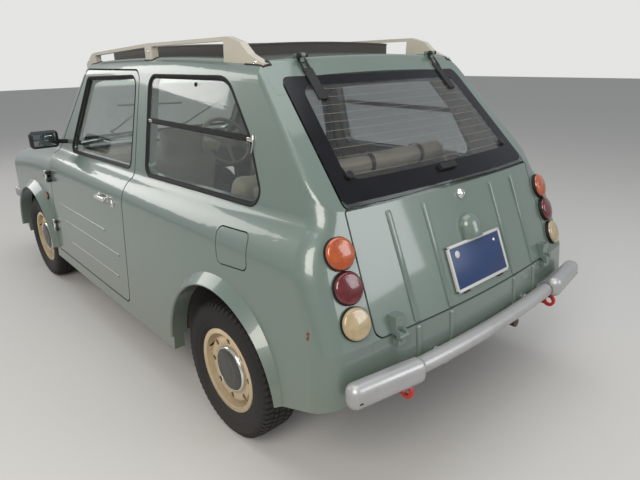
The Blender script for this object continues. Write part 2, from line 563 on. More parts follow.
def finish_of(name):
    """A named material of the car, built the first time that it is asked for."""
    finish = settings().finish
    makers = {
        "paint": body_paint,
        "rail paint": lambda: worn("Rail Paint", finish.rail_paint, 0.12, 5.0, 0.35, 0.2, Coat_Weight=0.4),
        "bumper paint": lambda: worn(
            "Bumper Paint", finish.bumper_paint, 0.10, 4.0, 0.42, 0.25, 600.0, 0.05, dirt=0.25,
            dirt_range=(0.42, 0.50), Metallic=0.55, Coat_Weight=0.3),
        "wheel paint": lambda: worn(
            "Wheel Paint", finish.wheel_paint, 0.35, 12.0, 0.42, 0.25, 500.0, 0.08, dirt=0.6,
            dirt_range=(0.1, 0.45), Coat_Weight=0.3),
        "underbody": lambda: worn(
            "Underbody Coating", (0.022, 0.022, 0.022), 0.6, 8.0, 0.85, 0.2, 180.0, 0.5, 0.003, dirt=0.6,
            dirt_range=(0.1, 0.7)),
        "steel": lambda: worn(
            "Chassis Steel", (0.07, 0.06, 0.05), 0.6, 14.0, 0.6, 0.3, 300.0, 0.25, 0.002, dirt=0.5,
            dirt_range=(0.05, 0.6), Metallic=0.6),
        "engine": lambda: worn("Cast Metal", (0.08, 0.08, 0.08), 0.5, 10.0, 0.7, 0.2, 260.0, 0.4, 0.002),
        "exhaust": lambda: worn("Exhaust Steel", (0.10, 0.07, 0.05), 0.6, 16.0, 0.55, 0.3, 350.0, 0.3, 0.001,
                                Metallic=0.8),
        "glass": lambda: glass_material("Window Glass", (0.80, 0.86, 0.83)),
        "hatch glass": lambda: glass_material("Hatch Glass", (0.62, 0.65, 0.68), 0.02, 0.15),
        "black rubber": lambda: worn("Black Rubber", (0.009, 0.009, 0.009), 0.3, 20.0, 0.60, 0.2, 500.0, 0.15,
                                     Specular_IOR_Level=0.25),
        "black plastic": lambda: worn("Black Plastic", (0.014, 0.014, 0.014), 0.3, 20.0, 0.42, 0.1, 700.0, 0.1,
                                      Specular_IOR_Level=0.35),
        "frit": lambda: worn("Black Glass Border", (0.007, 0.007, 0.009), 0.4, 12.0, 0.16, 0.1, 900.0, 0.02,
                             Specular_IOR_Level=0.22),
        "chrome": lambda: plated("Chrome"),
        "hub centre": lambda: worn("Hub Centre", (0.085, 0.085, 0.078), 0.3, 12.0, 0.34, 0.1, Metallic=0.6),
        "amber": lambda: lens_material("Amber Lens", (0.42, 0.085, 0.012), (0.26, 0.040, 0.008)),
        "red": lambda: lens_material("Red Lens", (0.130, 0.006, 0.010), (0.060, 0.003, 0.005)),
        "clear": lambda: lens_material("Cream Lens", (0.40, 0.32, 0.19), (0.31, 0.235, 0.13)),
        "lamp glass": lambda: worn("Lamp Glass", (0.62, 0.64, 0.62), 0.06, 30.0, 0.10, 0.05, 120.0, 0.25, 0.002,
                                   Metallic=0.65, Coat_Weight=1.0, Coat_Roughness=0.03),
        "mirror glass": lambda: worn("Mirror Glass", (0.20, 0.22, 0.23), 0.02, 8.0, 0.04, 0.02, Metallic=1.0,
                                     bump_strength=0),
        "belt webbing": lambda: cloth_material("Belt Webbing", (0.020, 0.020, 0.022), 700.0, 1.0, 0.2, 0.75),
        "blind cloth": lambda: cloth_material("Blind Cloth", (0.56, 0.49, 0.37), 520.0, 0.8, 0.1, 0.7),
        "carpet": lambda: cloth_material("Carpet", (0.045, 0.040, 0.034), 300.0, 1.4, 0.3, 0.95),
        "tow red": lambda: worn("Tow Hook Red", (0.45, 0.02, 0.015), 0.25, 40.0, 0.35, 0.2),
        "tyre": tyre_material,
        "cabin trim": lambda: worn("Cabin Trim", finish.trim, 0.08, 8.0, 0.62, 0.1, 500.0, 0.2, 0.0008),
        "dark trim": lambda: worn("Dark Trim", (0.05, 0.045, 0.04), 0.1, 8.0, 0.6, 0.1, 500.0, 0.2, 0.0008),
        "headlining": lambda: cloth_material("Headlining", (0.40, 0.37, 0.31), 500.0, 0.5),
        "seat cloth": lambda: cloth_material("Cushion Cloth", finish.cloth, 300.0, 1.0),
        "canvas": lambda: cloth_material("Roof Canvas", (0.035, 0.030, 0.026), 420.0, 1.2, 0.15, 0.75),
        "plate white": lambda: worn("Plate White", (0.46, 0.46, 0.44), 0.05, 10.0, 0.4, 0.1),
        "plate blue": lambda: worn("Plate Blue", (0.006, 0.028, 0.105), 0.05, 10.0, 0.4, 0.1),
        "steering rim": lambda: worn("Steering Rim", (0.28, 0.23, 0.17), 0.1, 10.0, 0.45, 0.1),
        "fuel tank": lambda: worn("Tank Plastic", (0.015, 0.015, 0.015), 0.3, 10.0, 0.6, 0.2, 300.0, 0.2),
        "seam": lambda: worn("Seam Shadow", (0.006, 0.007, 0.006), 0.2, 20.0, 0.9, 0.1),
    }
    if name not in MATERIALS:
        MATERIALS[name] = makers[name]()
    return MATERIALS[name]


def paint_node(node, name):
    """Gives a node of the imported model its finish."""
    data = NODES[node].data
    data.materials.clear()
    data.materials.append(finish_of(name))


def mesh_data(name, mesh):
    """Mesh block from a bmesh, which is freed."""
    data = bpy.data.meshes.new(name)
    mesh.to_mesh(data)
    mesh.free()
    return data


def new_object(name, data):
    made = bpy.data.objects.new(name, data)
    bpy.context.scene.collection.objects.link(made)
    return made


def evaluated(piece):
    """Mesh of an object with its modifiers applied."""
    bpy.context.view_layer.update()
    graph = bpy.context.evaluated_depsgraph_get()
    return bpy.data.meshes.new_from_object(piece.evaluated_get(graph))


def corners_of(points):
    """Lowest and highest corner of the box round some points."""
    return [Vector([pick(p[i] for p in points) for i in range(3)]) for pick in (min, max)]


def new_piece(name, mesh, finish, body, angle=35):
    """Object from a bmesh, with its finish, riding on a body of the frame."""
    piece = new_object(name, mesh_data(name, mesh))
    for item in [finish] if isinstance(finish, str) else finish:
        piece.data.materials.append(finish_of(item))
    piece.data.shade_smooth()
    piece.data.set_sharp_from_angle(angle=math.radians(angle))
    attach(piece, body)
    return piece


def lathe(mesh, profile, centre, axis, segments=48, material=0, closed=True):
    """Ring of faces from a profile of (along the axis, radius)."""
    axis = Vector(axis).normalized()
    side = axis.orthogonal().normalized()
    up = axis.cross(side)
    rings = []
    for along, radius in profile:
        ring = []
        for i in range(segments):
            turn = 2 * math.pi * i / segments
            spoke = side * math.cos(turn) + up * math.sin(turn)
            ring.append(mesh.verts.new(Vector(centre) + axis * along + spoke * max(radius, 1e-5)))
        rings.append(ring)
    pairs = list(zip(rings, rings[1:]))
    if closed:
        pairs.append((rings[-1], rings[0]))
    for a, b in pairs:
        for i in range(segments):
            j = (i + 1) % segments
            face = mesh.faces.new((a[i], a[j], b[j], b[i]))
            face.material_index = material
    return rings


def tube(mesh, points, radius, sides=12, material=0, cap=True):
    """Round tube along points."""
    points = [Vector(p) for p in points]
    rings = []
    side = None
    for i, point in enumerate(points):
        ahead = points[min(i + 1, len(points) - 1)] - points[max(i - 1, 0)]
        ahead.normalize()
        side = ahead.orthogonal().normalized() if side is None else (side - ahead * side.dot(ahead)).normalized()
        up = ahead.cross(side)
        r = radius[i] if isinstance(radius, (list, tuple)) else radius
        rings.append([
            mesh.verts.new(point + (side * math.cos(2 * math.pi * k / sides)
                                    + up * math.sin(2 * math.pi * k / sides)) * r) for k in range(sides)])
    for a, b in zip(rings, rings[1:]):
        for k in range(sides):
            n = (k + 1) % sides
            mesh.faces.new((a[k], a[n], b[n], b[k])).material_index = material
    if cap:
        mesh.faces.new(list(reversed(rings[0]))).material_index = material
        mesh.faces.new(rings[-1]).material_index = material


def loft(mesh, rings, material=0):
    """Faces between rings of points, and one on each end."""
    made = [[mesh.verts.new(Vector(p)) for p in ring] for ring in rings]
    for a, b in zip(made, made[1:]):
        for i in range(len(a)):
            j = (i + 1) % len(a)
            mesh.faces.new((a[i], a[j], b[j], b[i])).material_index = material
    mesh.faces.new(list(reversed(made[0]))).material_index = material
    mesh.faces.new(made[-1]).material_index = material


def rounded_box(mesh, low, high, radius, segments=3, material=0, matrix=None):
    """Box with bevelled edges, added to a mesh."""
    part = bmesh.new()
    bmesh.ops.create_cube(part, size=1)
    low, high = Vector(low), Vector(high)
    for vert in part.verts:
        vert.co = Vector(((low[i] + high[i]) / 2 + vert.co[i] * (high[i] - low[i]) for i in range(3)))
    if radius:
        bmesh.ops.bevel(part, geom=part.edges[:], offset=radius, segments=segments, profile=0.5,
                        affect="EDGES", clamp_overlap=True)
    if matrix is not None:
        bmesh.ops.transform(part, matrix=matrix, verts=part.verts)
    join(mesh, part, material)


def join(mesh, part, material=0):
    """Adds the faces of one mesh to another and frees it."""
    made = {v: mesh.verts.new(v.co) for v in part.verts}
    for face in part.faces:
        try:
            mesh.faces.new([made[v] for v in face.verts]).material_index = material
        except ValueError:
            continue
    part.free()


def mirror_all(mesh):
    """Adds the other side's copy of everything in a mesh."""
    faces = list(mesh.faces)
    made = {v: mesh.verts.new(mirrored_y(v.co)) for v in list(mesh.verts)}
    for face in faces:
        copy = mesh.faces.new([made[v] for v in reversed(face.verts)])
        copy.material_index = face.material_index


def on_rear(up_share, y, out=0.0, foot=GATE_FOOT, top=GATE_TOP):
    """Point on a bowed rear face: share of the way up it, place across the car, and distance out of it."""
    base = foot.lerp(top, up_share)
    run = (top - foot).normalized()
    normal = Vector((-run.z, 0, run.x))
    base = base + normal * out
    arm = base.x - REAR_BOW_X
    turn = math.asin(y / arm)
    return Vector((REAR_BOW_X + arm * math.cos(turn), y, base.z))


def skin(*nodes):
    """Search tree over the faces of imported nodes, to lay trim on them."""
    mesh = bmesh.new()
    for node in nodes:
        mesh.from_mesh(NODES[node].data)
    tree = BVHTree.FromBMesh(mesh)
    mesh.free()
    return tree


def land(tree, start, towards):
    """Point and outward normal where a straight look from start meets the skin."""
    towards = Vector(towards).normalized()
    point, normal, _, _ = tree.ray_cast(Vector(start), towards)
    if point is None:
        return None
    if normal.dot(towards) > 0:
        normal = -normal
    return point, normal


def rounded(points, radii, step=0.02):
    """Corner points of a closed outline with rounded corners, evenly filled in."""
    count = len(points)
    made = []
    for i, corner in enumerate(points):
        corner = Vector(corner)
        before, after = Vector(points[i - 1]), Vector(points[(i + 1) % count])
        to_before, to_after = (before - corner).normalized(), (after - corner).normalized()
        half = to_before.angle(to_after) / 2
        radius = radii[i] if isinstance(radii, (list, tuple)) else radii
        reach = radius / math.tan(half)
        start, end = corner + to_before * reach, corner + to_after * reach
        middle = corner + (to_before + to_after).normalized() * (radius / math.sin(half))
        swing = math.pi - 2 * half
        turns = max(3, int(swing * radius / 0.008))
        a = start - middle
        side = (end - middle) - a * ((end - middle).dot(a) / a.dot(a))
        side = side.normalized() * radius if side.length else side
        arc = [middle + a * math.cos(swing * t / turns) + side * math.sin(swing * t / turns)
               for t in range(turns + 1)]
        made.append(arc)
    path = []
    for i, arc in enumerate(made):
        path += arc
        gap = made[(i + 1) % count][0] - arc[-1]
        fills = int(gap.length / step)
        path += [arc[-1] + gap * (k / (fills + 1)) for k in range(1, fills + 1)]
    return path


def grown(path, amount):
    """Closed flat path moved outwards (to its own left or right, whichever is out)."""
    area = sum(a.x * b.y - b.x * a.y for a, b in zip(path, path[1:] + path[:1]))
    facing = 1 if area > 0 else -1
    made = []
    for i, point in enumerate(path):
        run = (path[(i + 1) % len(path)] - path[i - 1]).normalized()
        made.append(point + Vector((run.y, -run.x)) * amount * facing)
    return made


def band(mesh, inner, outer, lift, material=0, crown=0.0):
    """Flat or crowned band between two closed rows of (point, normal)."""
    rows = []
    for share, extra in ((0, -0.001), (0, lift), (0.5, lift + crown), (1, lift), (1, -0.001)):
        rows.append([mesh.verts.new(a[0].lerp(b[0], share) + a[1].lerp(b[1], share) * extra)
                     for a, b in zip(inner, outer)])
    for a, b in zip(rows, rows[1:]):
        for i in range(len(a)):
            j = (i + 1) % len(a)
            mesh.faces.new((a[i], a[j], b[j], b[i])).material_index = material


def laid(tree, path, lay):
    """Flat path carried onto a skin: lay turns a flat point into (start, towards)."""
    made = []
    for point in path:
        hit = land(tree, *lay(point))
        made.append(made[-1] if hit is None else hit)
    return made


def from_side(point):
    return Vector((point[0], 1.3, point[1])), (0, -1, 0)


def from_front(point):
    return Vector((2.6, point[0], point[1])), (-1, 0, 0)


def dome(mesh, centre, towards, radius, height, material=0, segments=24, rings=5):
    """Low dome on a round foot."""
    profile = []
    for k in range(rings + 1):
        turn = math.pi / 2 * k / rings
        profile.append((height * math.sin(turn), radius * max(math.cos(turn), 0.0)))
    ring_rows = lathe(mesh, [(-0.002, radius)] + profile, centre, towards, segments, material, closed=False)
    mesh.faces.new(ring_rows[-1]).material_index = material


def washer(mesh, centre, towards, inner, outer, height, material=0, segments=32):
    """Flat ring with softened edges."""
    soft = min(height, (outer - inner) / 2) * 0.4
    lathe(mesh, [(-0.001, inner), (height - soft, inner), (height, inner + soft), (height, outer - soft),
                 (height - soft, outer), (-0.001, outer)], centre, towards, segments, material)


def even_steps(path, like):
    """Points on a closed path, one for each point of another, in the same direction from the middle."""
    middle = sum((Vector(p) for p in path), Vector((0, 0))) / len(path)
    made = []
    ends = list(zip(path, path[1:] + path[:1]))
    for target in like:
        ray = Vector(target) - middle
        best = None
        for a, b in ends:
            hit = geometry.intersect_line_line_2d(middle, middle + ray * 3, Vector(a), Vector(b))
            if hit and (hit - middle).dot(ray) > 0:
                best = hit
                break
        made.append(best if best is not None else Vector(target))
    return made


def round_solid(node, towards, pick):
    """Middle of the front of a round CAD solid whose axis points along towards."""
    axis = Vector(towards).normalized()
    side = axis.orthogonal().normalized()
    up = axis.cross(side)
    points = [v.co for v in NODES[node].data.vertices if pick(v.co)]
    middle = Vector((0, 0, 0))
    for line in (side, up):
        reach = [p.dot(line) for p in points]
        middle += line * (min(reach) + max(reach)) / 2
    return middle + axis * max(p.dot(axis) for p in points), axis


def collar(mesh, tree, centre, axis, inner, outer, lift, crown=0.0, material=0, segments=48):
    """Ring laid on a skin round an axis."""
    side = axis.orthogonal().normalized()
    up = axis.cross(side)
    rows = []
    for radius in (inner, outer):
        row = []
        for i in range(segments):
            turn = 2 * math.pi * i / segments
            spoke = side * math.cos(turn) + up * math.sin(turn)
            hit = land(tree, centre + axis * 0.06 + spoke * radius, -axis)
            if hit is None:
                hit = row[-1] if row else (centre + spoke * radius, axis)
            row.append(hit)
        rows.append(row)
    band(mesh, rows[0], rows[1], lift, material, crown)


def patch(mesh, tree, us, vs, lay, lift, material=0, step=0.06):
    """Grid laid on a skin. Cells that miss it or span a step are left out."""
    rows = []
    for u in us:
        row = []
        for v in vs:
            start, towards = lay((u, v))
            hit = land(tree, start, towards)
            row.append(None if hit is None else mesh.verts.new(hit[0] + hit[1] * lift))
        rows.append(row)
    for a, b in zip(rows, rows[1:]):
        for i in range(len(vs) - 1):
            corners = (a[i], b[i], b[i + 1], a[i + 1])
            if any(c is None for c in corners):
                continue
            start, towards = lay((0.0, 0.0))
            depths = [c.co.dot(Vector(towards)) for c in corners]
            if max(depths) - min(depths) < step:
                mesh.faces.new(corners).material_index = material
    loose = [v for v in mesh.verts if not v.link_faces]
    bmesh.ops.delete(mesh, geom=loose, context="VERTS")


def spread(low, high, count):
    return [low + (high - low) * i / (count - 1) for i in range(count)]


def from_below(point):
    return Vector((point[0], point[1], 1.15)), (0, 0, 1)


def from_above(point):
    return Vector((point[0], point[1], 1.9)), (0, 0, -1)


def from_inside(point):
    return Vector((point[0], 0.30, point[1])), (0, 1, 0)


def from_quarter(point):
    """Look at the quarter panel's inner wall: share from its sloping rear edge to the door post, height."""
    share, height = point
    slope = 0.953 if height > 0.95 else 0.35
    rear = max(-1.690, -1.545 + (height - 0.95) * slope)
    return from_inside((rear + (-0.372 - rear) * share, height))


def face_outwards(mesh):
    bmesh.ops.recalc_face_normals(mesh, faces=mesh.faces[:])


def mirror_piece(mesh):
    """Turns a mesh into its copy on the right side."""
    for vert in mesh.verts:
        vert.co.y = -vert.co.y
    bmesh.ops.reverse_faces(mesh, faces=mesh.faces[:])


def ribbon(mesh, points, across, width, thickness, material=0):
    """Flat strap along points, with its flat side across the given direction."""
    rings = []
    for i, point in enumerate(points):
        point = Vector(point)
        ahead = (Vector(points[min(i + 1, len(points) - 1)]) - Vector(points[max(i - 1, 0)])).normalized()
        flat = (Vector(across) - ahead * Vector(across).dot(ahead)).normalized()
        thick = ahead.cross(flat)
        rings.append([point + flat * (width / 2 * a) + thick * (thickness / 2 * b)
                      for a, b in ((-1, -1), (1, -1), (1, 1), (-1, 1))])
    loft(mesh, rings, material)


def curve_through(points, steps=8):
    """Smooth points through a few given ones."""
    points = [Vector(p) for p in points]
    ends = [points[0] * 2 - points[1], *points, points[-1] * 2 - points[-2]]
    made = []
    for a, b, c, d in zip(ends, ends[1:], ends[2:], ends[3:]):
        for k in range(steps):
            t = k / steps
            made.append(0.5 * ((2 * b) + (c - a) * t + (2 * a - 5 * b + 4 * c - d) * t * t
                               + (3 * b - a - 3 * c + d) * t * t * t))
    return made + [points[-1]]


class HATCHBACK_OT_finish(Operator):
    """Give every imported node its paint, glass, rubber or metal"""
    bl_idname = "hatchback.finish"
    bl_label = "Finishes"

    def execute(self, context):
        table = {
            "paint": ["body_side_left", "body_side_right", "fuel_flap", "roof_panel", "rear_valance", "tailgate",
                      "door_left", "door_right", "front_wings", "cowl_panel", "bonnet", "nose_panel"],
            "rail paint": ["roof_rails"],
            "canvas": ["canvas_roof"],
            "black plastic": ["hatch_fittings", "door_fittings_left", "door_fittings_right"],
            "glass": ["door_glass_left", "door_glass_right", "fixed_glass"],
            "hatch glass": ["hatch_glass"],
            "amber": ["amber_lamps"], "red": ["red_lamps"], "clear": ["clear_lamps"],
            "bumper paint": ["bumper_front", "bumper_rear"],
            "tow red": ["tow_eyes"],
            "underbody": ["floor_pan"],
            "engine": ["engine"],
            "fuel tank": ["fuel_tank"],
            "exhaust": ["exhaust"],
            "steel": ["rear_axle", "front_suspension", "front_struts", "knuckle_left", "knuckle_right"],
            "wheel paint": ["rim_front_left", "rim_front_right", "rim_rear_left", "rim_rear_right"],
            "tyre": ["tyre_front_left", "tyre_front_right", "tyre_rear_left", "tyre_rear_right"],
            "seat cloth": ["front_seats", "rear_seat"],
            "cabin trim": ["dashboard"],
            "steering rim": ["steering_wheel"],
            "plate white": ["gate_fittings"],
        }
        for finish, nodes in table.items():
            for node in nodes:
                paint_node(node, finish)
        return {"FINISHED"}


class HATCHBACK_OT_stage(Operator):
    """Add the camera, the soft lights and the pale floor"""
    bl_idname = "hatchback.stage"
    bl_label = "Stage"

    def execute(self, context):
        stage = settings().stage
        scene = context.scene
        scene.view_settings.view_transform = "Standard"
        yaw, pitch, roll = (math.radians(a) for a in CAMERA_TURN)
        ahead = Vector((math.cos(pitch) * math.cos(yaw), math.cos(pitch) * math.sin(yaw), -math.sin(pitch)))
        right = ahead.cross(Vector((0, 0, 1))).normalized()
        down = ahead.cross(right)
        turned_right = right * math.cos(roll) + down * math.sin(roll)
        turned_down = -right * math.sin(roll) + down * math.cos(roll)
        pose = Matrix((turned_right, -turned_down, -ahead)).transposed().to_4x4()
        pose.translation = Vector(CAMERA_PLACE)
        lens = bpy.data.cameras.new("Camera")
        lens.lens = stage.lens
        lens.sensor_width = 36
        camera = new_object("Camera", lens)
        camera.matrix_world = pose
        scene.camera = camera

        mesh = bmesh.new()
        bmesh.ops.create_grid(mesh, x_segments=1, y_segments=1, size=stage.floor_size / 2)
        floor = new_object("Floor", mesh_data("Floor", mesh))
        floor.location = (0, 0, CAD_BOX[0].z - 0.0005)
        material, tree, bsdf = blank_material("Floor", Roughness=0.75)
        at = add(tree, "ShaderNodeTexCoord").outputs["Object"]
        cloud = noise(tree, at, 1.2, 3.0)
        base = mix_colour(tree, ramp(tree, cloud, 0.3, 0.7, 0.0, 0.08), stage.floor_colour, (0.45, 0.44, 0.42))
        tree.links.new(base, bsdf.inputs["Base Color"])
        floor.data.materials.append(material)

        world = bpy.data.worlds.new("Studio")
        world.use_nodes = True
        scene.world = world
        tree = world.node_tree
        tree.nodes.clear()
        path = tree.nodes.new("ShaderNodeLightPath")
        seen = maths(tree, "MAXIMUM", path.outputs["Is Camera Ray"], path.outputs["Is Transmission Ray"])
        lit = tree.nodes.new("ShaderNodeBackground")
        lit.inputs["Color"].default_value = (0.93, 0.96, 1.0, 1)
        lit.inputs["Strength"].default_value = 0.48
        shown = tree.nodes.new("ShaderNodeBackground")
        shown.inputs["Color"].default_value = (0.78, 0.78, 0.77, 1)
        mixed = tree.nodes.new("ShaderNodeMixShader")
        out = tree.nodes.new("ShaderNodeOutputWorld")
        tree.links.new(seen, mixed.inputs[0])
        tree.links.new(lit.outputs[0], mixed.inputs[1])
        tree.links.new(shown.outputs[0], mixed.inputs[2])
        tree.links.new(mixed.outputs[0], out.inputs[0])

        lamps = (
            ("Key", (-3.5, 4.5, 4.2), (0.0, 0.3, 0.6), 3.2, stage.key_power, (1.0, 0.95, 0.88)),
            ("Top", (-0.4, 0.0, 5.5), (-0.4, 0.0, 0.0), 4.5, stage.key_power * 0.5, (0.95, 0.98, 1.0)),
            ("Rear", (-6.0, -2.2, 2.8), (-1.5, 0.0, 0.7), 2.6, stage.key_power * 0.35, (0.96, 0.98, 1.0)),
            ("Front", (5.5, 3.0, 3.5), (0.8, 0.0, 0.6), 3.0, stage.key_power * 0.35, (1.0, 0.97, 0.93)),
        )
        for name, spot, aim, size, power, colour in lamps:
            light = bpy.data.lights.new(name, "AREA")
            light.shape = "SQUARE"
            light.size = size
            light.energy = power
            light.color = colour
            lamp = new_object(name, light)
            lamp.location = spot
            lamp.rotation_euler = (Vector(aim) - Vector(spot)).to_track_quat("-Z", "Y").to_euler()
        return {"FINISHED"}


class HATCHBACK_OT_tyres(Operator):
    """Build the four tyres with ribbed walls and tread blocks"""
    bl_idname = "hatchback.tyres"
    bl_label = "Tyres"

    def execute(self, context):
        sizes = settings().tyres
        groove = sizes.groove
        base = TYRE_R - groove
        mesh = bmesh.new()
        wall = [
            (0.0595, 0.1655), (0.0630, 0.1720), (0.0662, 0.1775), (0.0690, 0.1800), (0.0700, 0.1835),
            (0.0716, 0.1850), (0.0744, 0.1950), (0.0762, 0.2060), (0.0772, 0.2075), (0.0774, 0.2095),
            (0.0768, 0.2110), (0.0783, 0.2200), (0.0780, 0.2330), (0.0764, 0.2430), (0.0768, 0.2440),
            (0.0764, 0.2455), (0.0745, 0.2530), (0.0705, 0.2610), (0.0640, base - 0.0045), (0.0545, base - 0.0010),
            (0.0300, base), (0.0, base),
        ]
        profile = wall + [(-a, r) for a, r in reversed(wall[:-1])]
        profile += [(-0.050, 0.1650), (0.050, 0.1650)]
        lathe(mesh, profile, (0, 0, 0), (0, 1, 0), 96)
        rows = ((-0.0635, -0.0430, 0.0), (-0.0385, -0.0185, 0.5), (-0.0140, 0.0140, 0.25), (0.0185, 0.0385, 0.5),
                (0.0430, 0.0635, 0.0))
        pitch = 2 * math.pi / sizes.blocks
        for low, high, phase in rows:
            edge = abs(low + high) / 2 > 0.05
            for i in range(sizes.blocks):
                start = (i + phase) * pitch
                end = start + pitch * (0.72 if edge else 0.80)
                skew = 0.0 if edge else pitch * 0.22
                top, foot = [], []
                for along, turn in ((low, start), (high, start + skew), (high, end + skew), (low, end)):
                    crown = base + 0.0018 if abs(along) > 0.06 else TYRE_R - 0.0001
                    middle = (start + end + skew) / 2
                    drawn = middle + (turn - middle) * 0.93
                    top.append(mesh.verts.new((crown * math.sin(drawn), along, crown * math.cos(drawn))))
                    root = base - 0.006
                    foot.append(mesh.verts.new((root * math.sin(turn), along, root * math.cos(turn))))
                mesh.faces.new(top)
                for k in range(4):
                    n = (k + 1) % 4
                    mesh.faces.new((foot[k], foot[n], top[n], top[k]))
        for side in (1, -1):
            for i in range(sizes.blocks):
                start = i * pitch
                end = start + pitch * 0.6
                lug = []
                for along, radius in ((0.0635, base + 0.0008), (0.0712, 0.2605), (0.0752, 0.2515)):
                    lug.append([
                        mesh.verts.new(((radius + 0.0015) * math.sin(t), side * (along + 0.0006),
                                        (radius + 0.0015) * math.cos(t))) for t in (start, end)])
                for a, b in zip(lug, lug[1:]):
                    mesh.faces.new((a[0], a[1], b[1], b[0]))
        face_outwards(mesh)
        data = mesh_data("Tyre", mesh)
        data.materials.append(finish_of("tyre"))
        data.shade_smooth()
        data.set_sharp_from_angle(angle=math.radians(30))
        for wheel, x, facing in WHEELS:
            piece = new_object(f"tread_{wheel}", data.copy())
            piece.data.transform(Matrix.Translation((x, facing * WHEEL_Y, TYRE_R)))
            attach(piece, f"wheel_{wheel}")
            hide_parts(f"tyre_{wheel}")
        return {"FINISHED"}


class HATCHBACK_OT_side_seals(Operator):
    """Lay the rubber seals round the door and quarter windows"""
    bl_idname = "hatchback.side_seals"
    bl_label = "Side window seals"

    def execute(self, context):
        for side in ("left", "right"):
            for piece, node, shape, radii, outer_width, body in (
                    ("door_seal", "door_left", DOOR_WINDOW, DOOR_WINDOW_RADII, 0.008, f"door_{side}"),
                    ("quarter_seal", "body_side_left", QUARTER_WINDOW, QUARTER_WINDOW_RADII, 0.010, "car")):
                tree = skin(node)
                path = [Vector(p) for p in rounded(shape, radii)]
                inner = laid(tree, grown(path, 0.0015), from_side)
                outer = laid(tree, grown(path, outer_width), from_side)
                mesh = bmesh.new()
                lip = [(p - n * 0.006 + (p - q).normalized() * 0.010, n) for (p, n), (q, _) in zip(inner, outer)]
                band(mesh, inner, outer, 0.0012, 0, 0.0015)
                back = [mesh.verts.new(p) for p, _ in lip]
                front = [mesh.verts.new(p + n * 0.0012) for p, n in inner]
                for i in range(len(back)):
                    j = (i + 1) % len(back)
                    mesh.faces.new((back[i], back[j], front[j], front[i]))
                if side == "right":
                    for vert in mesh.verts:
                        vert.co.y = -vert.co.y
                face_outwards(mesh)
                new_piece(f"{piece}_{side}", mesh, "black rubber", body)
        return {"FINISHED"}


class HATCHBACK_OT_hatch_trim(Operator):
    """Print the black border and the heater lines on the hatch glass"""
    bl_idname = "hatchback.hatch_trim"
    bl_label = "Hatch glass trim"

    def execute(self, context):
        low, high = 0.016, 0.527
        run = (HATCH_TOP - GATE_TOP).normalized()

        def spot(across_y, up):
            base = GATE_TOP + run * up
            turn = math.asin(across_y / (base.x - REAR_BOW_X))
            arm = base.x - REAR_BOW_X
            point = Vector((REAR_BOW_X + arm * math.cos(turn), across_y, base.z))
            normal = Matrix.Rotation(turn, 3, "Z") @ Vector((-run.z, 0, run.x))
            return point, normal

        frame = rounded([(-0.538, low), (0.538, low), (0.490, high), (-0.490, high)], 0.030, 0.03)
        inner = rounded([(-0.470, 0.094), (0.470, 0.094), (0.430, 0.487), (-0.430, 0.487)], 0.050, 0.03)
        outer_rows = [spot(p.x, p.y) for p in frame]
        count = len(outer_rows)
        inner_rows = [spot(p.x, p.y) for p in even_steps(inner, frame)]
        mesh = bmesh.new()
        made = [[mesh.verts.new(p + n * 0.0006) for p, n in rows] for rows in (outer_rows, inner_rows)]
        for i in range(count):
            j = (i + 1) % count
            mesh.faces.new((made[0][i], made[0][j], made[1][j], made[1][i]))
        face_outwards(mesh)
        new_piece("hatch_border", mesh, "frit", "hatch")
        mesh = bmesh.new()
        for k in range(HEATER_LINES):
            up = 0.115 + k * HEATER_PITCH
            half = 0.468 - (up - 0.094) * 0.10
            points = [spot(-half + 2 * half * i / 16, up) for i in range(17)]
            for (p, n), (q, m) in zip(points, points[1:]):
                a = [mesh.verts.new(p + n * 0.0004 + run * w) for w in (-0.0005, 0.0005)]
                b = [mesh.verts.new(q + m * 0.0004 + run * w) for w in (-0.0005, 0.0005)]
                mesh.faces.new((a[0], b[0], b[1], a[1]))
        new_piece("heater_lines", mesh, "steering rim", "hatch")
        return {"FINISHED"}


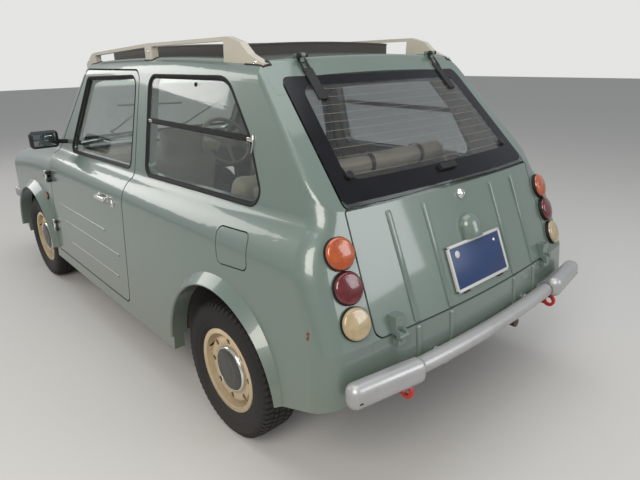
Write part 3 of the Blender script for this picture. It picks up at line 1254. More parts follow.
class HATCHBACK_OT_rims(Operator):
    """Build the pressed steel wheels with their vent holes, hub caps and valves"""
    bl_idname = "hatchback.rims"
    bl_label = "Wheels"

    def execute(self, context):
        mesh = bmesh.new()
        lathe(mesh, [(along / 1000, radius / 1000) for along, radius in RIM_SECTION], (0, 0, 0), (0, 1, 0), 96)
        face_outwards(mesh)
        rim = new_object("Rim", mesh_data("Rim", mesh))
        mesh = bmesh.new()
        for i in range(settings().tyres.vents):
            turn = 2 * math.pi * i / settings().tyres.vents
            spot = Vector((VENT_PITCH_R * math.cos(turn), 0.02, VENT_PITCH_R * math.sin(turn)))
            tube(mesh, [spot, spot + Vector((0, 0.04, 0))], VENT_R, 24)
        face_outwards(mesh)
        cutter = new_object("Vents", mesh_data("Vents", mesh))
        cut = rim.modifiers.new("Vents", "BOOLEAN")
        cut.operation = "DIFFERENCE"
        cut.object = cutter
        drilled = evaluated(rim)
        bpy.data.objects.remove(rim)
        bpy.data.objects.remove(cutter)
        drilled.materials.clear()
        drilled.materials.append(finish_of("wheel paint"))
        drilled.shade_smooth()
        drilled.set_sharp_from_angle(angle=math.radians(28))
        for wheel, x, facing in WHEELS:
            body = f"wheel_{wheel}"
            centre = Vector((x, facing * WHEEL_Y, TYRE_R))
            out = Vector((0, facing, 0))
            shape = drilled.copy()
            turned = Matrix.Translation(centre)
            if facing < 0:
                turned = turned @ Matrix.Rotation(math.pi, 4, "Z")
            shape.transform(turned)
            piece = new_object(f"wheel_disc_{wheel}", shape)
            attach(piece, body)
            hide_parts(f"rim_{wheel}")
            mesh = bmesh.new()
            lathe(mesh, HUB_RING, centre, out, 72, 0)
            lathe(mesh, HUB_CENTRE, centre, out, 72, 1, closed=False)
            new_piece(f"hub_cap_{wheel}", mesh, ["chrome", "hub centre"], body)
            mesh = bmesh.new()
            lathe(mesh, VENT_BACKING, centre, out, 64)
            new_piece(f"wheel_shadow_{wheel}", mesh, "underbody", body)
            mesh = bmesh.new()
            stem = Vector((math.cos(0.4), 0, math.sin(0.4)))
            tube(mesh, [centre + out * 0.028 + stem * 0.142, centre + out * 0.036 + stem * 0.1415,
                        centre + out * 0.056 + stem * 0.138], [0.006, 0.0045, 0.0035], 14)
            new_piece(f"valve_{wheel}", mesh, "black rubber", body)
        return {"FINISHED"}


class HATCHBACK_OT_lamp_trim(Operator):
    """Fit gaskets and fluted lenses to the round lamps, and rings and glasses to the headlamps"""
    bl_idname = "hatchback.lamp_trim"
    bl_label = "Lamp trim"

    def execute(self, context):
        mesh = bmesh.new()
        for node in ("amber_lamps", "red_lamps", "clear_lamps"):
            centre, axis = round_solid(node, REAR_LAMP_TOWARDS, lambda p: p.x < -1.4 and p.y > 0)
            lathe(mesh, [(-0.034, 0.0526), (-0.0125, 0.0526), (-0.0108, 0.0519), (-0.0104, 0.0509),
                         (-0.0110, 0.0499), (-0.034, 0.0499)], centre, axis, 64)
        mirror_all(mesh)
        new_piece("rear_lamp_gaskets", mesh, "black rubber", "car")
        for colour in ("amber", "red", "clear"):
            centre, axis = round_solid(f"{colour}_lamps", REAR_LAMP_TOWARDS, lambda p: p.x < -1.4 and p.y > 0)
            mesh = bmesh.new()
            rows = [(-0.0165, 0.0506)] + [
                (-0.0120 + 0.0126 * math.cos(t), 0.0380 + 0.0126 * math.sin(t))
                for t in [math.radians(a) for a in (90, 78, 66, 54, 42, 30, 18, 8)]]
            for k in range(LENS_FLUTES):
                radius = LENS_FACE_R - k * FLUTE_PITCH
                height = 0.0008 + 0.0042 * (1 - (radius / LENS_FACE_R) ** 2)
                rows.append((height, radius))
                rows.append((height + 0.0003, radius - 0.0012))
            made = lathe(mesh, rows, centre, axis, 64, 0, closed=False)
            mesh.faces.new(made[-1])
            mirror_all(mesh)
            new_piece(f"rear_lenses_{colour}", mesh, colour, "car", angle=60)
        mesh = bmesh.new()
        centre, axis = round_solid("clear_lamps", (1, 0, 0), lambda p: p.x > 1.4 and p.y > 0)
        lathe(mesh, [(-0.050, 0.0935), (-0.012, 0.0960), (-0.004, 0.0965), (0.002, 0.0945), (0.0035, 0.0905),
                     (0.0020, 0.0870), (-0.002, 0.0860), (-0.050, 0.0860)], centre, axis, 72, 0)
        rows = [(-0.004, 0.0868)] + [
            (0.0012 + 0.010 * (1 - (r / 0.0868) ** 2), r) for r in spread(0.0862, 0.0, 12)]
        lathe(mesh, rows, centre, axis, 72, 1, closed=False)
        mirror_all(mesh)
        new_piece("headlamp_rings", mesh, ["chrome", "lamp glass"], "car")
        mesh = bmesh.new()
        nose = skin("nose_panel", "front_wings")
        centre, axis = round_solid("amber_lamps", (1, 0, 0), lambda p: p.x > 1.5 and 0 < p.y < 0.6)
        collar(mesh, nose, centre, axis, 0.0352, 0.0410, 0.003, 0.001)
        mirror_all(mesh)
        side_lamp = [v.co for v in NODES["amber_lamps"].data.vertices if v.co.y > 0.7 and 0.3 < v.co.x < 1.75]
        if side_lamp:
            centre, axis = round_solid("amber_lamps", (0, 1, 0), lambda p: p.y > 0.7 and 0.3 < p.x < 1.75)
            reach = max((p - centre).length for p in side_lamp if abs(p.y - centre.y) < 0.02)
            for facing in (1, -1):
                part = bmesh.new()
                collar(part, nose, centre, axis, min(reach, 0.03) + 0.0006, min(reach, 0.03) + 0.006, 0.003, 0.001)
                if facing < 0:
                    mirror_piece(part)
                join(mesh, part)
        face_outwards(mesh)
        new_piece("front_lamp_gaskets", mesh, "black rubber", "car")
        return {"FINISHED"}


class HATCHBACK_OT_plate(Operator):
    """Dress the number plate, its holder, the lock and the hinge screws"""
    bl_idname = "hatchback.plate"
    bl_label = "Plate and lock"

    def execute(self, context):
        run = (GATE_TOP - GATE_FOOT).normalized()
        normal = Vector((-run.z, 0, run.x))
        share = (PLATE_Z - GATE_FOOT.z) / (GATE_TOP.z - GATE_FOOT.z)
        middle = GATE_FOOT.lerp(GATE_TOP, share)
        tilt = Matrix((Vector((0, 1, 0)), run, Vector((0, 1, 0)).cross(run))).transposed().to_4x4()
        if Vector((0, 1, 0)).cross(run).dot(normal) < 0:
            tilt = Matrix((Vector((0, -1, 0)), run, Vector((0, -1, 0)).cross(run))).transposed().to_4x4()
        tilt.translation = middle
        mesh = bmesh.new()
        rounded_box(mesh, (-0.155, -0.0725, 0.006), (0.155, 0.0725, 0.0092), 0.0012, 2, 0, tilt)
        wide, tall, bar = 0.1665, 0.0840, 0.0105
        back, front = 0.0005, 0.0112
        for low, high in (((-wide, -tall, back), (wide, bar - tall, front)),
                          ((-wide, tall - bar, back), (wide, tall, front)),
                          ((-wide, -tall, back), (bar - wide, tall, front)),
                          ((wide - bar, -tall, back), (wide, tall, front))):
            rounded_box(mesh, low, high, 0.0022, 2, 1, tilt)
        left = tilt.to_3x3() @ Vector((1, 0, 0))
        sign = 1 if left.y > 0 else -1
        seal = tilt @ Vector((sign * 0.118, 0.047, 0.0090))
        dome(mesh, seal, normal, 0.0135, 0.0035, 1, 28, 5)
        bolt = tilt @ Vector((-sign * 0.118, 0.047, 0.0090))
        dome(mesh, bolt, normal, 0.0065, 0.0030, 2, 20, 4)
        for y in (-0.11, 0.11):
            rounded_box(mesh, (y - 0.018, -0.0925, 0.0010), (y + 0.018, -0.0800, 0.0060), 0.0015, 2, 3, tilt)
        new_piece("plate_holder", mesh, ["plate blue", "plate white", "chrome", "black plastic"], "tailgate")
        mesh = bmesh.new()
        tree = skin("gate_fittings")
        look = GATE_FOOT.lerp(GATE_TOP, (LOCK_Z - GATE_FOOT.z) / (GATE_TOP.z - GATE_FOOT.z))
        hit = land(tree, look + normal * 0.2, -normal)
        front = hit[0] if hit else look + normal * 0.012
        lathe(mesh, [(-0.0125, 0.0125), (-0.0125, 0.0185), (-0.0105, 0.0200), (-0.0080, 0.0195),
                     (-0.0060, 0.0165), (0.0000, 0.0140), (0.0012, 0.0125), (0.0012, 0.0095),
                     (-0.0010, 0.0090)], front, normal, 40, 0)
        lathe(mesh, [(0.0006, 0.0098), (0.0010, 0.0090), (0.0012, 0.0)], front, normal, 40, 0, closed=False)
        rounded_box(mesh, (-0.0012, -0.0055, 0.0008), (0.0012, 0.0055, 0.0020), 0.0004, 1, 1,
                    Matrix.Translation(front) @ tilt.to_3x3().to_4x4())
        new_piece("gate_lock", mesh, ["chrome", "seam"], "tailgate")
        mesh = bmesh.new()
        tree = skin("tailgate", "rear_valance")
        for y in (0.473, -0.473):
            for z in (0.616, 0.640):
                hit = land(tree, Vector((-2.2, y, z + 0.15)), Vector((0.93, 0, -0.33)))
                if hit and hit[0].z > 0.600:
                    dome(mesh, hit[0], hit[1], 0.0048, 0.0020, 0, 16, 3)
        new_piece("gate_screws", mesh, "paint", "tailgate")
        return {"FINISHED"}


class HATCHBACK_OT_gate_pressings(Operator):
    """Round the pressed beads of the tailgate and valance, and add the hood over the plate"""
    bl_idname = "hatchback.gate_pressings"
    bl_label = "Gate beads and hood"

    def execute(self, context):
        for name, body, foot, top, low, high in (
                ("gate_beads", "tailgate", GATE_FOOT, GATE_TOP, 0.014, 0.374),
                ("valance_beads", "car", VALANCE_FOOT, GATE_FOOT, 0.045, 0.176)):
            length = (top - foot).length
            mesh = bmesh.new()
            for y in BEADS_Y:
                rings = []
                for along, share in ((low - 0.006, 0.25), (low - 0.004, 0.75), (low - 0.001, 1.0),
                                     (high + 0.001, 1.0), (high + 0.006, 0.85), (high + 0.010, 0.25)):
                    ring = [on_rear(along / length, y + a * 0.0110 * (0.6 + 0.4 * share), b * 0.0068 * share,
                                    foot, top) for a, b in BEAD_SECTION]
                    rings.append(ring)
                loft(mesh, rings)
            face_outwards(mesh)
            new_piece(name, mesh, "paint", body)
        mesh = bmesh.new()
        length = (GATE_TOP - GATE_FOOT).length
        middle = (LAMP_HOOD_Z - GATE_FOOT.z) / (GATE_TOP.z - GATE_FOOT.z) * length
        steps = [(-0.0445, 0.95), (-0.0438, 0.98), (-0.0420, 1.0), (-0.0200, 1.0), (0.0, 1.0)]
        for k in range(1, 15):
            turn = math.pi / 2 * k / 14.3
            steps.append((0.0475 * math.sin(turn), math.cos(turn)))
        rings = []
        for along, share in steps:
            arc = [(math.cos(math.pi * k / 20), math.sin(math.pi * k / 20)) for k in range(21)]
            arc = [(1.0, -0.05), *arc, (-1.0, -0.05)]
            rings.append([on_rear((middle + along) / length, a * 0.0475 * share, b * 0.040 * share)
                          for a, b in arc])
        loft(mesh, rings)
        face_outwards(mesh)
        new_piece("plate_lamp_hood", mesh, "paint", "tailgate", angle=50)
        return {"FINISHED"}


class HATCHBACK_OT_door_trim(Operator):
    """Fit chrome to the door handles and locks, and covers to the outside hinges"""
    bl_idname = "hatchback.door_trim"
    bl_label = "Door trim"

    def execute(self, context):
        tree = skin("door_left")
        fittings = [v.co for v in NODES["door_fittings_left"].data.vertices]
        low, high = corners_of([p for p in fittings if -0.19 < p.x < -0.03])
        inner, outer = corners_of([p for p in fittings if p.y > 0.69 and p.x > 0.4])
        for side, facing in SIDES:
            mesh = bmesh.new()
            rounded_box(mesh, (low.x - 0.0008, high.y - 0.0128, low.z - 0.0008),
                        (high.x + 0.0008, high.y + 0.0008, high.z + 0.0008), 0.0055, 4)
            for x in HANDLE_FEET_X:
                rounded_box(mesh, (x - 0.0088, low.y - 0.0005, 0.7732), (x + 0.0088, high.y - 0.006, 0.7908),
                            0.003, 3)
                hit = land(tree, Vector((x, 1.2, 0.782)), (0, -1, 0))
                if hit:
                    washer(mesh, hit[0], hit[1], 0.0095, 0.0165, 0.0026, 0, 36)
            centre, axis = round_solid("door_fittings_left", (0, 1, 0), lambda p: p.x < -0.195)
            lathe(mesh, [(-0.0085, 0.0134), (-0.0080, 0.0175), (-0.0055, 0.0180), (-0.0035, 0.0150), (0.0, 0.0137),
                         (0.0010, 0.0120), (0.0012, 0.0)], centre, axis, 40, 0, closed=False)
            rounded_box(mesh, (centre.x - 0.0011, centre.y + 0.0006, centre.z - 0.005),
                        (centre.x + 0.0011, centre.y + 0.0018, centre.z + 0.005), 0.0004, 1, 1)
            rounded_box(mesh, (inner.x - 0.0010, inner.y + 0.020, inner.z + 0.014),
                        (inner.x + 0.004, outer.y - 0.014, outer.z - 0.014), 0.0018, 2, 2)
            if facing < 0:
                mirror_piece(mesh)
            new_piece(f"door_handle_{side}", mesh, ["chrome", "seam", "mirror glass"], f"door_{side}")
            x, y = DOOR_HINGE
            for body, spans in ((f"door_{side}", ((-0.0336, -0.0132), (0.0132, 0.0336))),
                                ("car", ((-0.0136, 0.0136),))):
                mesh = bmesh.new()
                for z in DOOR_HINGES_Z:
                    for z0, z1 in spans:
                        if body == "car":
                            rounded_box(mesh, (0.7600, 0.7300, z + z0 + 0.0012), (0.7952, 0.7638, z + z1 - 0.0012),
                                        0.003, 2, 0)
                            tube(mesh, [(x, y, z + z0 + 0.0004), (x, y, z + z1 - 0.0004)], HINGE_PIN_R, 28, 1)
                        else:
                            rounded_box(mesh, (0.7278, 0.7300, z + z0), (0.7610, 0.7638, z + z1), 0.003, 2, 0)
                            tube(mesh, [(x, y, z + z0), (x, y, z + z1)], HINGE_PIN_R, 28, 1)
                            tip = z1 if z1 > 0.02 else z0
                            dome(mesh, (x, y, z + tip), (0, 0, 1 if tip > 0 else -1), HINGE_PIN_R, 0.004, 1, 24, 4)
                face_outwards(mesh)
                if facing < 0:
                    mirror_piece(mesh)
                name = "hinge_cover_door" if body != "car" else "hinge_cover_wing"
                new_piece(f"{name}_{side}", mesh, ["black plastic", "chrome"], body)
        return {"FINISHED"}


class HATCHBACK_OT_quarter_trim(Operator):
    """Fit the bar, its clips and the catch to the quarter windows"""
    bl_idname = "hatchback.quarter_trim"
    bl_label = "Quarter window bar"

    def execute(self, context):
        tree = skin("fixed_glass")
        side_tree = skin("body_side_left", "fixed_glass")
        for side, facing in SIDES:
            mesh = bmesh.new()
            points = []
            for x in spread(QUARTER_BAR[0][0], QUARTER_BAR[1][0], 26):
                share = (x - QUARTER_BAR[0][0]) / (QUARTER_BAR[1][0] - QUARTER_BAR[0][0])
                z = QUARTER_BAR[0][1] + (QUARTER_BAR[1][1] - QUARTER_BAR[0][1]) * share
                hit = land(tree, *from_side((x, z)))
                if hit:
                    points.append((hit[0], hit[1]))
            rings = []
            for point, normal in points:
                up = Vector((0, 0, 1))
                up = (up - normal * up.dot(normal)).normalized()
                rings.append([point + up * a + normal * b for a, b in (
                    (-0.011, -0.0005), (-0.011, 0.003), (-0.008, 0.0052), (0.008, 0.0052), (0.011, 0.003),
                    (0.011, -0.0005))])
            loft(mesh, rings, 0)
            for x, z in QUARTER_BAR_CLIPS:
                hit = land(side_tree, *from_side((x, z)))
                if hit:
                    spot, normal = hit
                    rounded_box(mesh, (spot.x - 0.022, spot.y, spot.z - 0.007),
                                (spot.x + 0.014, spot.y + 0.0065, spot.z + 0.007), 0.002, 2, 1)
            ring = []
            for k in range(15):
                turn = math.pi * (k / 14) - math.pi / 2
                x, z = -1.232 - 0.006 * math.cos(turn), 1.140 + 0.030 * math.sin(turn)
                hit = land(side_tree, *from_side((x, z)))
                if hit:
                    ring.append(hit[0] + hit[1] * 0.0045)
            if len(ring) > 3:
                tube(mesh, ring, 0.0024, 10, 1)
            hit = land(tree, *from_side((-0.819, 1.324)))
            if hit:
                dome(mesh, hit[0], hit[1], 0.0085, 0.006, 0, 24, 4)
            face_outwards(mesh)
            if facing < 0:
                mirror_piece(mesh)
            new_piece(f"quarter_bar_{side}", mesh, ["black rubber", "chrome"], "car")
        return {"FINISHED"}


class HATCHBACK_OT_seats(Operator):
    """Blow up the padded seats with a cloth simulation, then sew their channels"""
    bl_idname = "hatchback.seats"
    bl_label = "Seats"

    def execute(self, context):
        cabin = settings().cabin
        shells = []
        for node in ("front_seats", "rear_seat"):
            mesh = bmesh.new()
            mesh.from_mesh(NODES[node].data)
            bmesh.ops.remove_doubles(mesh, verts=mesh.verts[:], dist=0.00001)
            left = set(mesh.verts)
            while left:
                stack, group = [left.pop()], set()
                while stack:
                    vert = stack.pop()
                    group.add(vert)
                    for edge in vert.link_edges:
                        other = edge.other_vert(vert)
                        if other in left:
                            left.remove(other)
                            stack.append(other)
                part = bmesh.new()
                made = {v: part.verts.new(v.co) for v in group}
                for face in {f for v in group for f in v.link_faces}:
                    part.faces.new([made[v] for v in face.verts])
                shells.append((node, part))
            mesh.free()
        pieces = []
        for count, (node, part) in enumerate(shells):
            face_outwards(part)
            name = f"front_pad_{count}" if node == "front_seats" else "rear_pad"
            pad = new_object(name, mesh_data(name, part))
            pad.modifiers.new("Even", "REMESH").voxel_size = cabin.voxel
            even = evaluated(pad)
            pad.modifiers.clear()
            pad.data = even
            smooth = bmesh.new()
            smooth.from_mesh(even)
            for _ in range(6):
                bmesh.ops.smooth_vert(smooth, verts=smooth.verts[:], factor=0.5, use_axis_x=True, use_axis_y=True,
                                      use_axis_z=True)
            smooth.normal_update()
            for vert in smooth.verts:
                vert.co -= vert.normal * cabin.shrink
            smooth.to_mesh(even)
            smooth.free()
            self.inflate(context, pad, cabin)
            self.sew(pad, node)
            pad.modifiers.new("Fine", "SUBSURF").levels = 1
            pad.modifiers["Fine"].render_levels = 1
            fine = evaluated(pad)
            pad.modifiers.clear()
            pad.data = fine
            fine.materials.clear()
            fine.materials.append(finish_of("seat cloth"))
            fine.shade_smooth()
            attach(pad, "car")
            pieces.append((pad, node))
        for pad, node in pieces:
            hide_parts(node)
        return {"FINISHED"}

    def inflate(self, context, pad, cabin):
        """Pressure from inside for a few frames, with each point's way capped."""
        before = [v.co.copy() for v in pad.data.vertices]
        cloth = pad.modifiers.new("Cloth", "CLOTH")
        cloth.settings.use_pressure = True
        cloth.settings.uniform_pressure_force = 4
        cloth.settings.effector_weights.gravity = 0
        cloth.settings.quality = 3
        context.scene.frame_start = 1
        context.scene.frame_end = SWELL_FRAMES
        for frame in range(1, SWELL_FRAMES + 1):
            context.scene.frame_set(frame)
        graph = context.evaluated_depsgraph_get()
        after = [v.co.copy() for v in pad.evaluated_get(graph).data.vertices]
        pad.modifiers.clear()
        context.scene.frame_set(1)
        for vert, start, end in zip(pad.data.vertices, before, after):
            way = end - start
            if way.length > cabin.swell:
                way *= cabin.swell / way.length
            vert.co = start + way

    def sew(self, pad, node):
        """Presses the sewn channels into the faces that people sit on."""
        low, high = corners_of([v.co for v in pad.data.vertices])
        middle = (low.y + high.y) / 2
        half = (high.y - low.y) / 2
        lines = [middle - half * 0.55, middle + half * 0.55] if node == "front_seats" else [
            -half * 0.72, -half * 0.28, 0.0, half * 0.28, half * 0.72]
        normals = [n.vector.copy() for n in pad.data.vertex_normals]
        for vert, normal in zip(pad.data.vertices, normals):
            facing = max(normal.z, normal.x, 0.0)
            press = sum(math.exp(-((vert.co.y - line) / CHANNEL_WIDTH) ** 2) for line in lines)
            rows = 0.0
            if abs(vert.co.y - middle) < half * 0.52:
                rows = math.exp(-((((vert.co.x - vert.co.z) / ROW_PITCH + 100) % 1 - 0.5) / 0.10) ** 2) * 0.5
            vert.co -= normal * (CHANNEL_DEPTH * min(press + rows, 1.0) * facing)


class HATCHBACK_OT_cabin(Operator):
    """Line the doors, walls and roof, and add the belts, the carpet and the load blind"""
    bl_idname = "hatchback.cabin"
    bl_label = "Cabin trim"

    def execute(self, context):
        for side, facing in SIDES:
            mesh = bmesh.new()
            patch(mesh, skin("door_left"), spread(-0.318, 0.700, 36), spread(0.335, 0.915, 20), from_inside,
                  0.0015)
            rounded_box(mesh, (-0.180, 0.600, 0.610), (0.250, 0.668, 0.650), 0.016, 3)
            face_outwards(mesh)
            if facing < 0:
                mirror_piece(mesh)
            new_piece(f"door_card_{side}", mesh, "cabin trim", f"door_{side}")
            mesh = bmesh.new()
            patch(mesh, skin("body_side_left"), spread(0.0, 1.0, 46), spread(0.440, 1.380, 34), from_quarter,
                  0.0015)
            face_outwards(mesh)
            if facing < 0:
                mirror_piece(mesh)
            new_piece(f"quarter_card_{side}", mesh, "cabin trim", "car")
            mesh = bmesh.new()
            route = curve_through([(-0.372, 0.534, 1.235), (-0.360, 0.546, 1.150), (-0.340, 0.566, 0.980),
                                   (-0.330, 0.585, 0.700), (-0.335, 0.600, 0.420)])
            ribbon(mesh, [Vector((x, y * facing, z)) for x, y, z in route], (1, 0, 0), 0.046, 0.0014)
            rounded_box(mesh, (-0.400, min(facing * 0.524, facing * 0.545), 1.222),
                        (-0.344, max(facing * 0.524, facing * 0.545), 1.262), 0.006, 3, 1)
            new_piece(f"safety_belt_{side}", mesh, ["belt webbing", "black plastic"], "car")
        mesh = bmesh.new()
        patch(mesh, skin("roof_panel", "canvas_roof"), spread(-1.20, 0.42, 56), spread(-0.525, 0.525, 36),
              from_below, 0.002)
        face_outwards(mesh)
        new_piece("headlining", mesh, "headlining", "car")
        mesh = bmesh.new()
        patch(mesh, skin("floor_pan"), spread(-1.60, 0.62, 60), spread(-0.68, 0.68, 36),
              lambda p: (Vector((p[0], p[1], 0.95)), (0, 0, -1)), 0.004, 0, 0.12)
        face_outwards(mesh)
        new_piece("carpet", mesh, "carpet", "car")
        mesh = bmesh.new()
        rings = []
        x, z = BLIND_AXIS
        for y in spread(-BLIND_HALF, BLIND_HALF, 27):
            sag = -0.006 * math.cos(math.pi * y / (2 * BLIND_HALF))
            radius = BLIND_R * (1 + 0.03 * math.sin(y * 31.0))
            rings.append([(x + radius * math.cos(t), y, z + sag + radius * math.sin(t))
                          for t in [2 * math.pi * k / 28 for k in range(28)]])
        loft(mesh, rings, 0)
        for y in (-0.30, 0.02, 0.31):
            lathe(mesh, [(-0.012, 0.0452), (-0.012, 0.0466), (0.012, 0.0466), (0.012, 0.0452)],
                  (x, y, z), (0, 1, 0), 28, 1)
        for facing in (-1, 1):
            lathe(mesh, [(0.0, 0.036), (0.012, 0.034), (0.016, 0.024), (0.016, 0.0)], (x, facing * BLIND_HALF, z),
                  (0, facing, 0), 28, 1, closed=False)
        new_piece("load_blind", mesh, ["blind cloth", "black plastic"], "car")
        mesh = bmesh.new()
        for facing in (1, -1):
            rounded_box(mesh, (-1.262, min(facing * 0.462, facing * 0.560), 0.930),
                        (-1.150, max(facing * 0.462, facing * 0.560), 0.972), 0.010, 3)
        new_piece("blind_rests", mesh, "cabin trim", "car")
        return {"FINISHED"}


class HATCHBACK_OT_roof_canvas(Operator):
    """Lay the folding roof canvas over its bows, with its hems and cross seams"""
    bl_idname = "hatchback.roof_canvas"
    bl_label = "Roof canvas"

    def execute(self, context):
        tree = skin("canvas_roof")
        back, front = CANVAS_X
        outline = rounded([(back, -CANVAS_HALF), (front, -CANVAS_HALF), (front, CANVAS_HALF), (back, CANVAS_HALF)],
                          CANVAS_CORNER, 0.02)
        margin = 0.002
        mesh = bmesh.new()
        rows = []
        for x in spread(back + margin, front - margin, 110):
            inset = 0.0
            reach = min(x - back, front - x)
            if reach < CANVAS_CORNER:
                inset = CANVAS_CORNER - math.sqrt(max(0.0, CANVAS_CORNER ** 2 - (CANVAS_CORNER - reach) ** 2))
            half = CANVAS_HALF - margin - inset
            row = []
            near = min(abs(x - bow) for bow in ROOF_BOWS_X)
            sag = -0.0035 * min(1.0, near / 0.08) ** 2
            for k in range(57):
                y = -half + 2 * half * k / 56
                hit = land(tree, *from_above((x, y)))
                if hit is None:
                    hit = (Vector((x, y, 1.45)), Vector((0, 0, 1)))
                edge = min(1.0, (half - abs(y)) / 0.05)
                ripple = 0.0008 * math.sin(x * 41 + y * 9) * math.sin(y * 23 - x * 6)
                row.append(mesh.verts.new(hit[0] + Vector((0, 0, (sag + ripple) * edge + 0.0006))))
            rows.append(row)
        for a, b in zip(rows, rows[1:]):
            for k in range(56):
                mesh.faces.new((a[k], b[k], b[k + 1], a[k + 1]))
        cover = new_piece("roof_canvas", mesh, "canvas", "car")
        mesh = bmesh.new()
        path = [Vector(p) for p in outline]
        top = laid(tree, grown(path, -0.004), from_above)
        tube(mesh, [p + n * 0.001 for p, n in top] + [top[0][0] + top[0][1] * 0.001], 0.0042, 10, 0, False)
        for x in ROOF_BOWS_X[1:-1]:
            seam = []
            for y in spread(-0.415, 0.415, 40):
                hit = land(tree, *from_above((x, y)))
                if hit:
                    seam.append(hit[0] + hit[1] * 0.0004)
            ribbon(mesh, seam, (1, 0, 0), 0.016, 0.0016)
        skirt = []
        for p, n in laid(tree, grown(path, -0.002), from_above):
            skirt.append((p, p - Vector((0, 0, 0.040))))
        tops = [mesh.verts.new(a) for a, _ in skirt]
        feet = [mesh.verts.new(b) for _, b in skirt]
        for i in range(len(tops)):
            j = (i + 1) % len(tops)
            mesh.faces.new((feet[i], feet[j], tops[j], tops[i]))
        face_outwards(mesh)
        hem = new_piece("canvas_hem", mesh, "canvas", "car")
        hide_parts("canvas_roof")
        return {"FINISHED"}


class HATCHBACK_OT_front_trim(Operator):
    """Fit the windscreen seal, the wipers, the grille and the washer jets"""
    bl_idname = "hatchback.front_trim"
    bl_label = "Front trim"

    def execute(self, context):
        tree = skin("fixed_glass", "body_side_left", "body_side_right", "roof_panel", "cowl_panel")
        path = [Vector(p) for p in rounded(WINDSCREEN, WINDSCREEN_RADII)]
        inner = laid(tree, grown(path, -0.012), from_front)
        outer = laid(tree, grown(path, 0.009), from_front)
        mesh = bmesh.new()
        band(mesh, inner, outer, 0.0030, 0, 0.0025)
        face_outwards(mesh)
        new_piece("screen_seal", mesh, "black rubber", "car")
        glass = skin("fixed_glass")
        mesh = bmesh.new()
        for pivot, tip, blade in (((0.300, 0.958), (0.080, 1.150), ((0.310, 1.150), (-0.140, 1.135))),
                                  ((-0.220, 0.960), (-0.440, 1.130), ((-0.220, 1.150), (-0.500, 1.080)))):
            route = []
            for share in spread(0, 1, 7):
                y = pivot[0] + (tip[0] - pivot[0]) * share
                z = pivot[1] + (tip[1] - pivot[1]) * share
                hit = land(glass, *from_front((y, max(z, 0.972))))
                if hit:
                    lift = 0.014 + 0.006 * math.sin(math.pi * share)
                    route.append(hit[0] + hit[1] * lift)
            if len(route) > 2:
                tube(mesh, route, [0.0050] * 3 + [0.0038] * (len(route) - 3), 10, 0)
                lathe(mesh, [(-0.030, 0.0090), (0.004, 0.0090), (0.008, 0.0070), (0.008, 0.0)], route[0],
                      (0.7, 0, 0.7), 20, 0, closed=False)
            points, lips = [], []
            for share in spread(0, 1, 15):
                y = blade[0][0] + (blade[1][0] - blade[0][0]) * share
                z = blade[0][1] + (blade[1][1] - blade[0][1]) * share
                hit = land(glass, *from_front((y, z)))
                if hit:
                    points.append(hit[0] + hit[1] * 0.0095)
                    lips.append(hit[0] + hit[1] * 0.0042)
            if len(points) > 2:
                tube(mesh, points, 0.0030, 8, 0)
                ribbon(mesh, lips, hit[1], 0.0070, 0.0014, 1)
        new_piece("wipers", mesh, ["black plastic", "black rubber"], "car")
        mesh = bmesh.new()
        rounded_box(mesh, (1.7450, -0.335, 0.622), (1.7500, 0.335, 0.762), 0.001, 1)
        for y in spread(-0.30, 0.30, 21):
            tube(mesh, [(1.7515, y, 0.624), (1.7515, y, 0.760)], 0.0016, 8)
        new_piece("grille_backing", mesh, "black plastic", "car")
        mesh = bmesh.new()
        nose = skin("nose_panel", "front_wings", "bonnet")
        for z in GRILLE_BARS_Z:
            line = []
            for y in spread(-0.326, 0.326, 32):
                hit = land(nose, *from_front((y, z)))
                if hit:
                    line.append(hit[0] + hit[1] * 0.0012)
            if len(line) > 2:
                tube(mesh, line, 0.0036, 10, 0)
        new_piece("grille_bars", mesh, "chrome", "car")
        mesh = bmesh.new()
        for y in (-0.24, 0.24):
            hit = land(skin("bonnet"), Vector((0.940, y, 1.3)), (0, 0, -1))
            if hit:
                dome(mesh, hit[0], hit[1], 0.0095, 0.006, 0, 20, 4)
        new_piece("washer_jets", mesh, "black plastic", "bonnet")
        return {"FINISHED"}


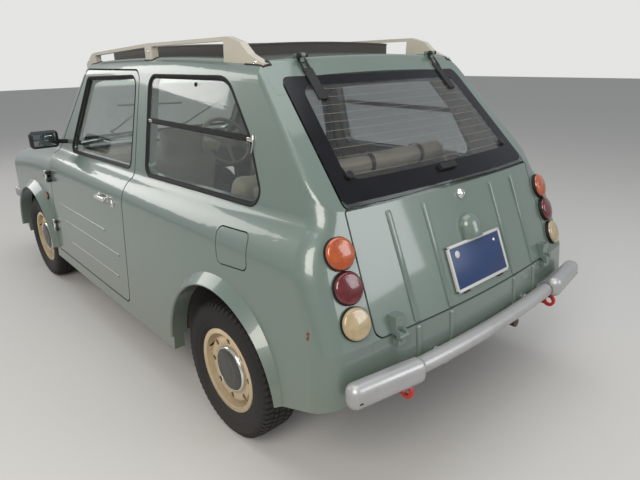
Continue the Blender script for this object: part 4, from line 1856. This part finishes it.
class HATCHBACK_OT_roof_and_bumper_trim(Operator):
    """Fit pads and bolts under the roof rails, and slots, collars and bolts to the bumpers"""
    bl_idname = "hatchback.roof_and_bumper_trim"
    bl_label = "Rail and bumper trim"

    def execute(self, context):
        top = skin("roof_panel", "body_side_left")
        mesh = bmesh.new()
        for x0, x1 in RAIL_FEET_X:
            part = bmesh.new()
            patch(part, top, spread(x0, x1, 10), spread(0.4965, 0.5335, 6), from_above, RAIL_PAD)
            if part.faces:
                bmesh.ops.solidify(part, geom=part.faces[:], thickness=RAIL_PAD)
            join(mesh, part)
        face_outwards(mesh)
        mirror_all(mesh)
        new_piece("rail_pads", mesh, "black rubber", "car")
        mesh = bmesh.new()
        rail = skin("roof_rails")
        for x, z in RAIL_BOLTS:
            hit = land(rail, Vector((x, 0.9, z)), (0, -1, 0))
            if hit:
                dome(mesh, hit[0], hit[1], 0.0062, 0.0028, 0, 20, 4)
                washer(mesh, hit[0], hit[1], 0.0062, 0.0092, 0.0012, 0, 24)
        mirror_all(mesh)
        new_piece("rail_bolts", mesh, "chrome", "car")
        for end, facing in (("rear", -1), ("front", 1)):
            bar = skin(f"bumper_{end}")
            mesh = bmesh.new()
            hit = land(bar, Vector((facing * 2.4, 0.700, 0.470)), (-facing, 0, 0))
            if hit:
                spot, normal = hit
                flat = Vector((0, 0, 1)).cross(normal).normalized()
                ring = [
                    spot + flat * (0.0075 * math.cos(t)) + Vector((0, 0, 0.0028 * math.sin(t))) + normal * 0.0007
                    for t in [2 * math.pi * k / 20 for k in range(20)]]
                mesh.faces.new([mesh.verts.new(p) for p in ring])
            for y in (0.500, 0.300):
                hit = land(bar, Vector((facing * 1.8415, y, 0.30)), (0, 0, 1))
                if hit:
                    dome(mesh, hit[0], hit[1], 0.0080, 0.0045, 1, 20, 4)
                    washer(mesh, hit[0], hit[1], 0.0080, 0.0120, 0.0015, 1, 24)
            edge = []
            for k in range(40):
                turn = 2 * math.pi * k / 40
                start = Vector((facing * (BUMPER_AXIS[0] + 0.09 * math.cos(turn)), BUMPER_CAP_Y,
                                BUMPER_AXIS[1] + 0.09 * math.sin(turn)))
                towards = Vector((-facing * math.cos(turn), 0, -math.sin(turn)))
                hit = land(bar, start, towards)
                if hit:
                    edge.append(hit[0] + hit[1] * 0.0002)
            if len(edge) > 30:
                tube(mesh, edge + [edge[0]], 0.0014, 8, 0, False)
            mirror_all(mesh)
            face_outwards(mesh)
            new_piece(f"bumper_details_{end}", mesh, ["seam", "chrome"], "car")
        return {"FINISHED"}


class HATCHBACK_PT_panel(Panel):
    """Sidebar panel that lists the car's pieces"""
    bl_label = "Compact Hatchback"
    bl_idname = "HATCHBACK_PT_panel"
    bl_space_type = "VIEW_3D"
    bl_region_type = "UI"
    bl_category = "Hatchback"

    def draw(self, context):
        layout = self.layout
        shown = context.scene.hatchback
        for group in (shown.finish, shown.stage, shown.tyres, shown.cabin):
            box = layout.box()
            for key in group.bl_rna.properties.keys():
                if key not in ("rna_type", "name"):
                    box.prop(group, key)
        for operator in OPERATORS:
            layout.operator(operator.bl_idname)


OPERATORS = (
    HATCHBACK_OT_stage,
    HATCHBACK_OT_finish,
    HATCHBACK_OT_tyres,
    HATCHBACK_OT_rims,
    HATCHBACK_OT_side_seals,
    HATCHBACK_OT_hatch_trim,
    HATCHBACK_OT_lamp_trim,
    HATCHBACK_OT_plate,
    HATCHBACK_OT_gate_pressings,
    HATCHBACK_OT_door_trim,
    HATCHBACK_OT_quarter_trim,
    HATCHBACK_OT_roof_and_bumper_trim,
    HATCHBACK_OT_front_trim,
    HATCHBACK_OT_roof_canvas,
    HATCHBACK_OT_cabin,
    HATCHBACK_OT_seats,
)
CLASSES = (FinishSettings, StageSettings, TyreSettings, CabinSettings, HatchbackSettings, *OPERATORS,
           HATCHBACK_PT_panel)


def register():
    for item in CLASSES:
        bpy.utils.register_class(item)
    bpy.types.Scene.hatchback = PointerProperty(type=HatchbackSettings)


def unregister():
    del bpy.types.Scene.hatchback
    for item in reversed(CLASSES):
        bpy.utils.unregister_class(item)


def main():
    register()
    for operator in OPERATORS:
        group, name = operator.bl_idname.split(".")
        if getattr(getattr(bpy.ops, group), name)() != {"FINISHED"}:
            raise RuntimeError(f"{operator.bl_label} could not be built")


if __name__ == "__main__":
    main()
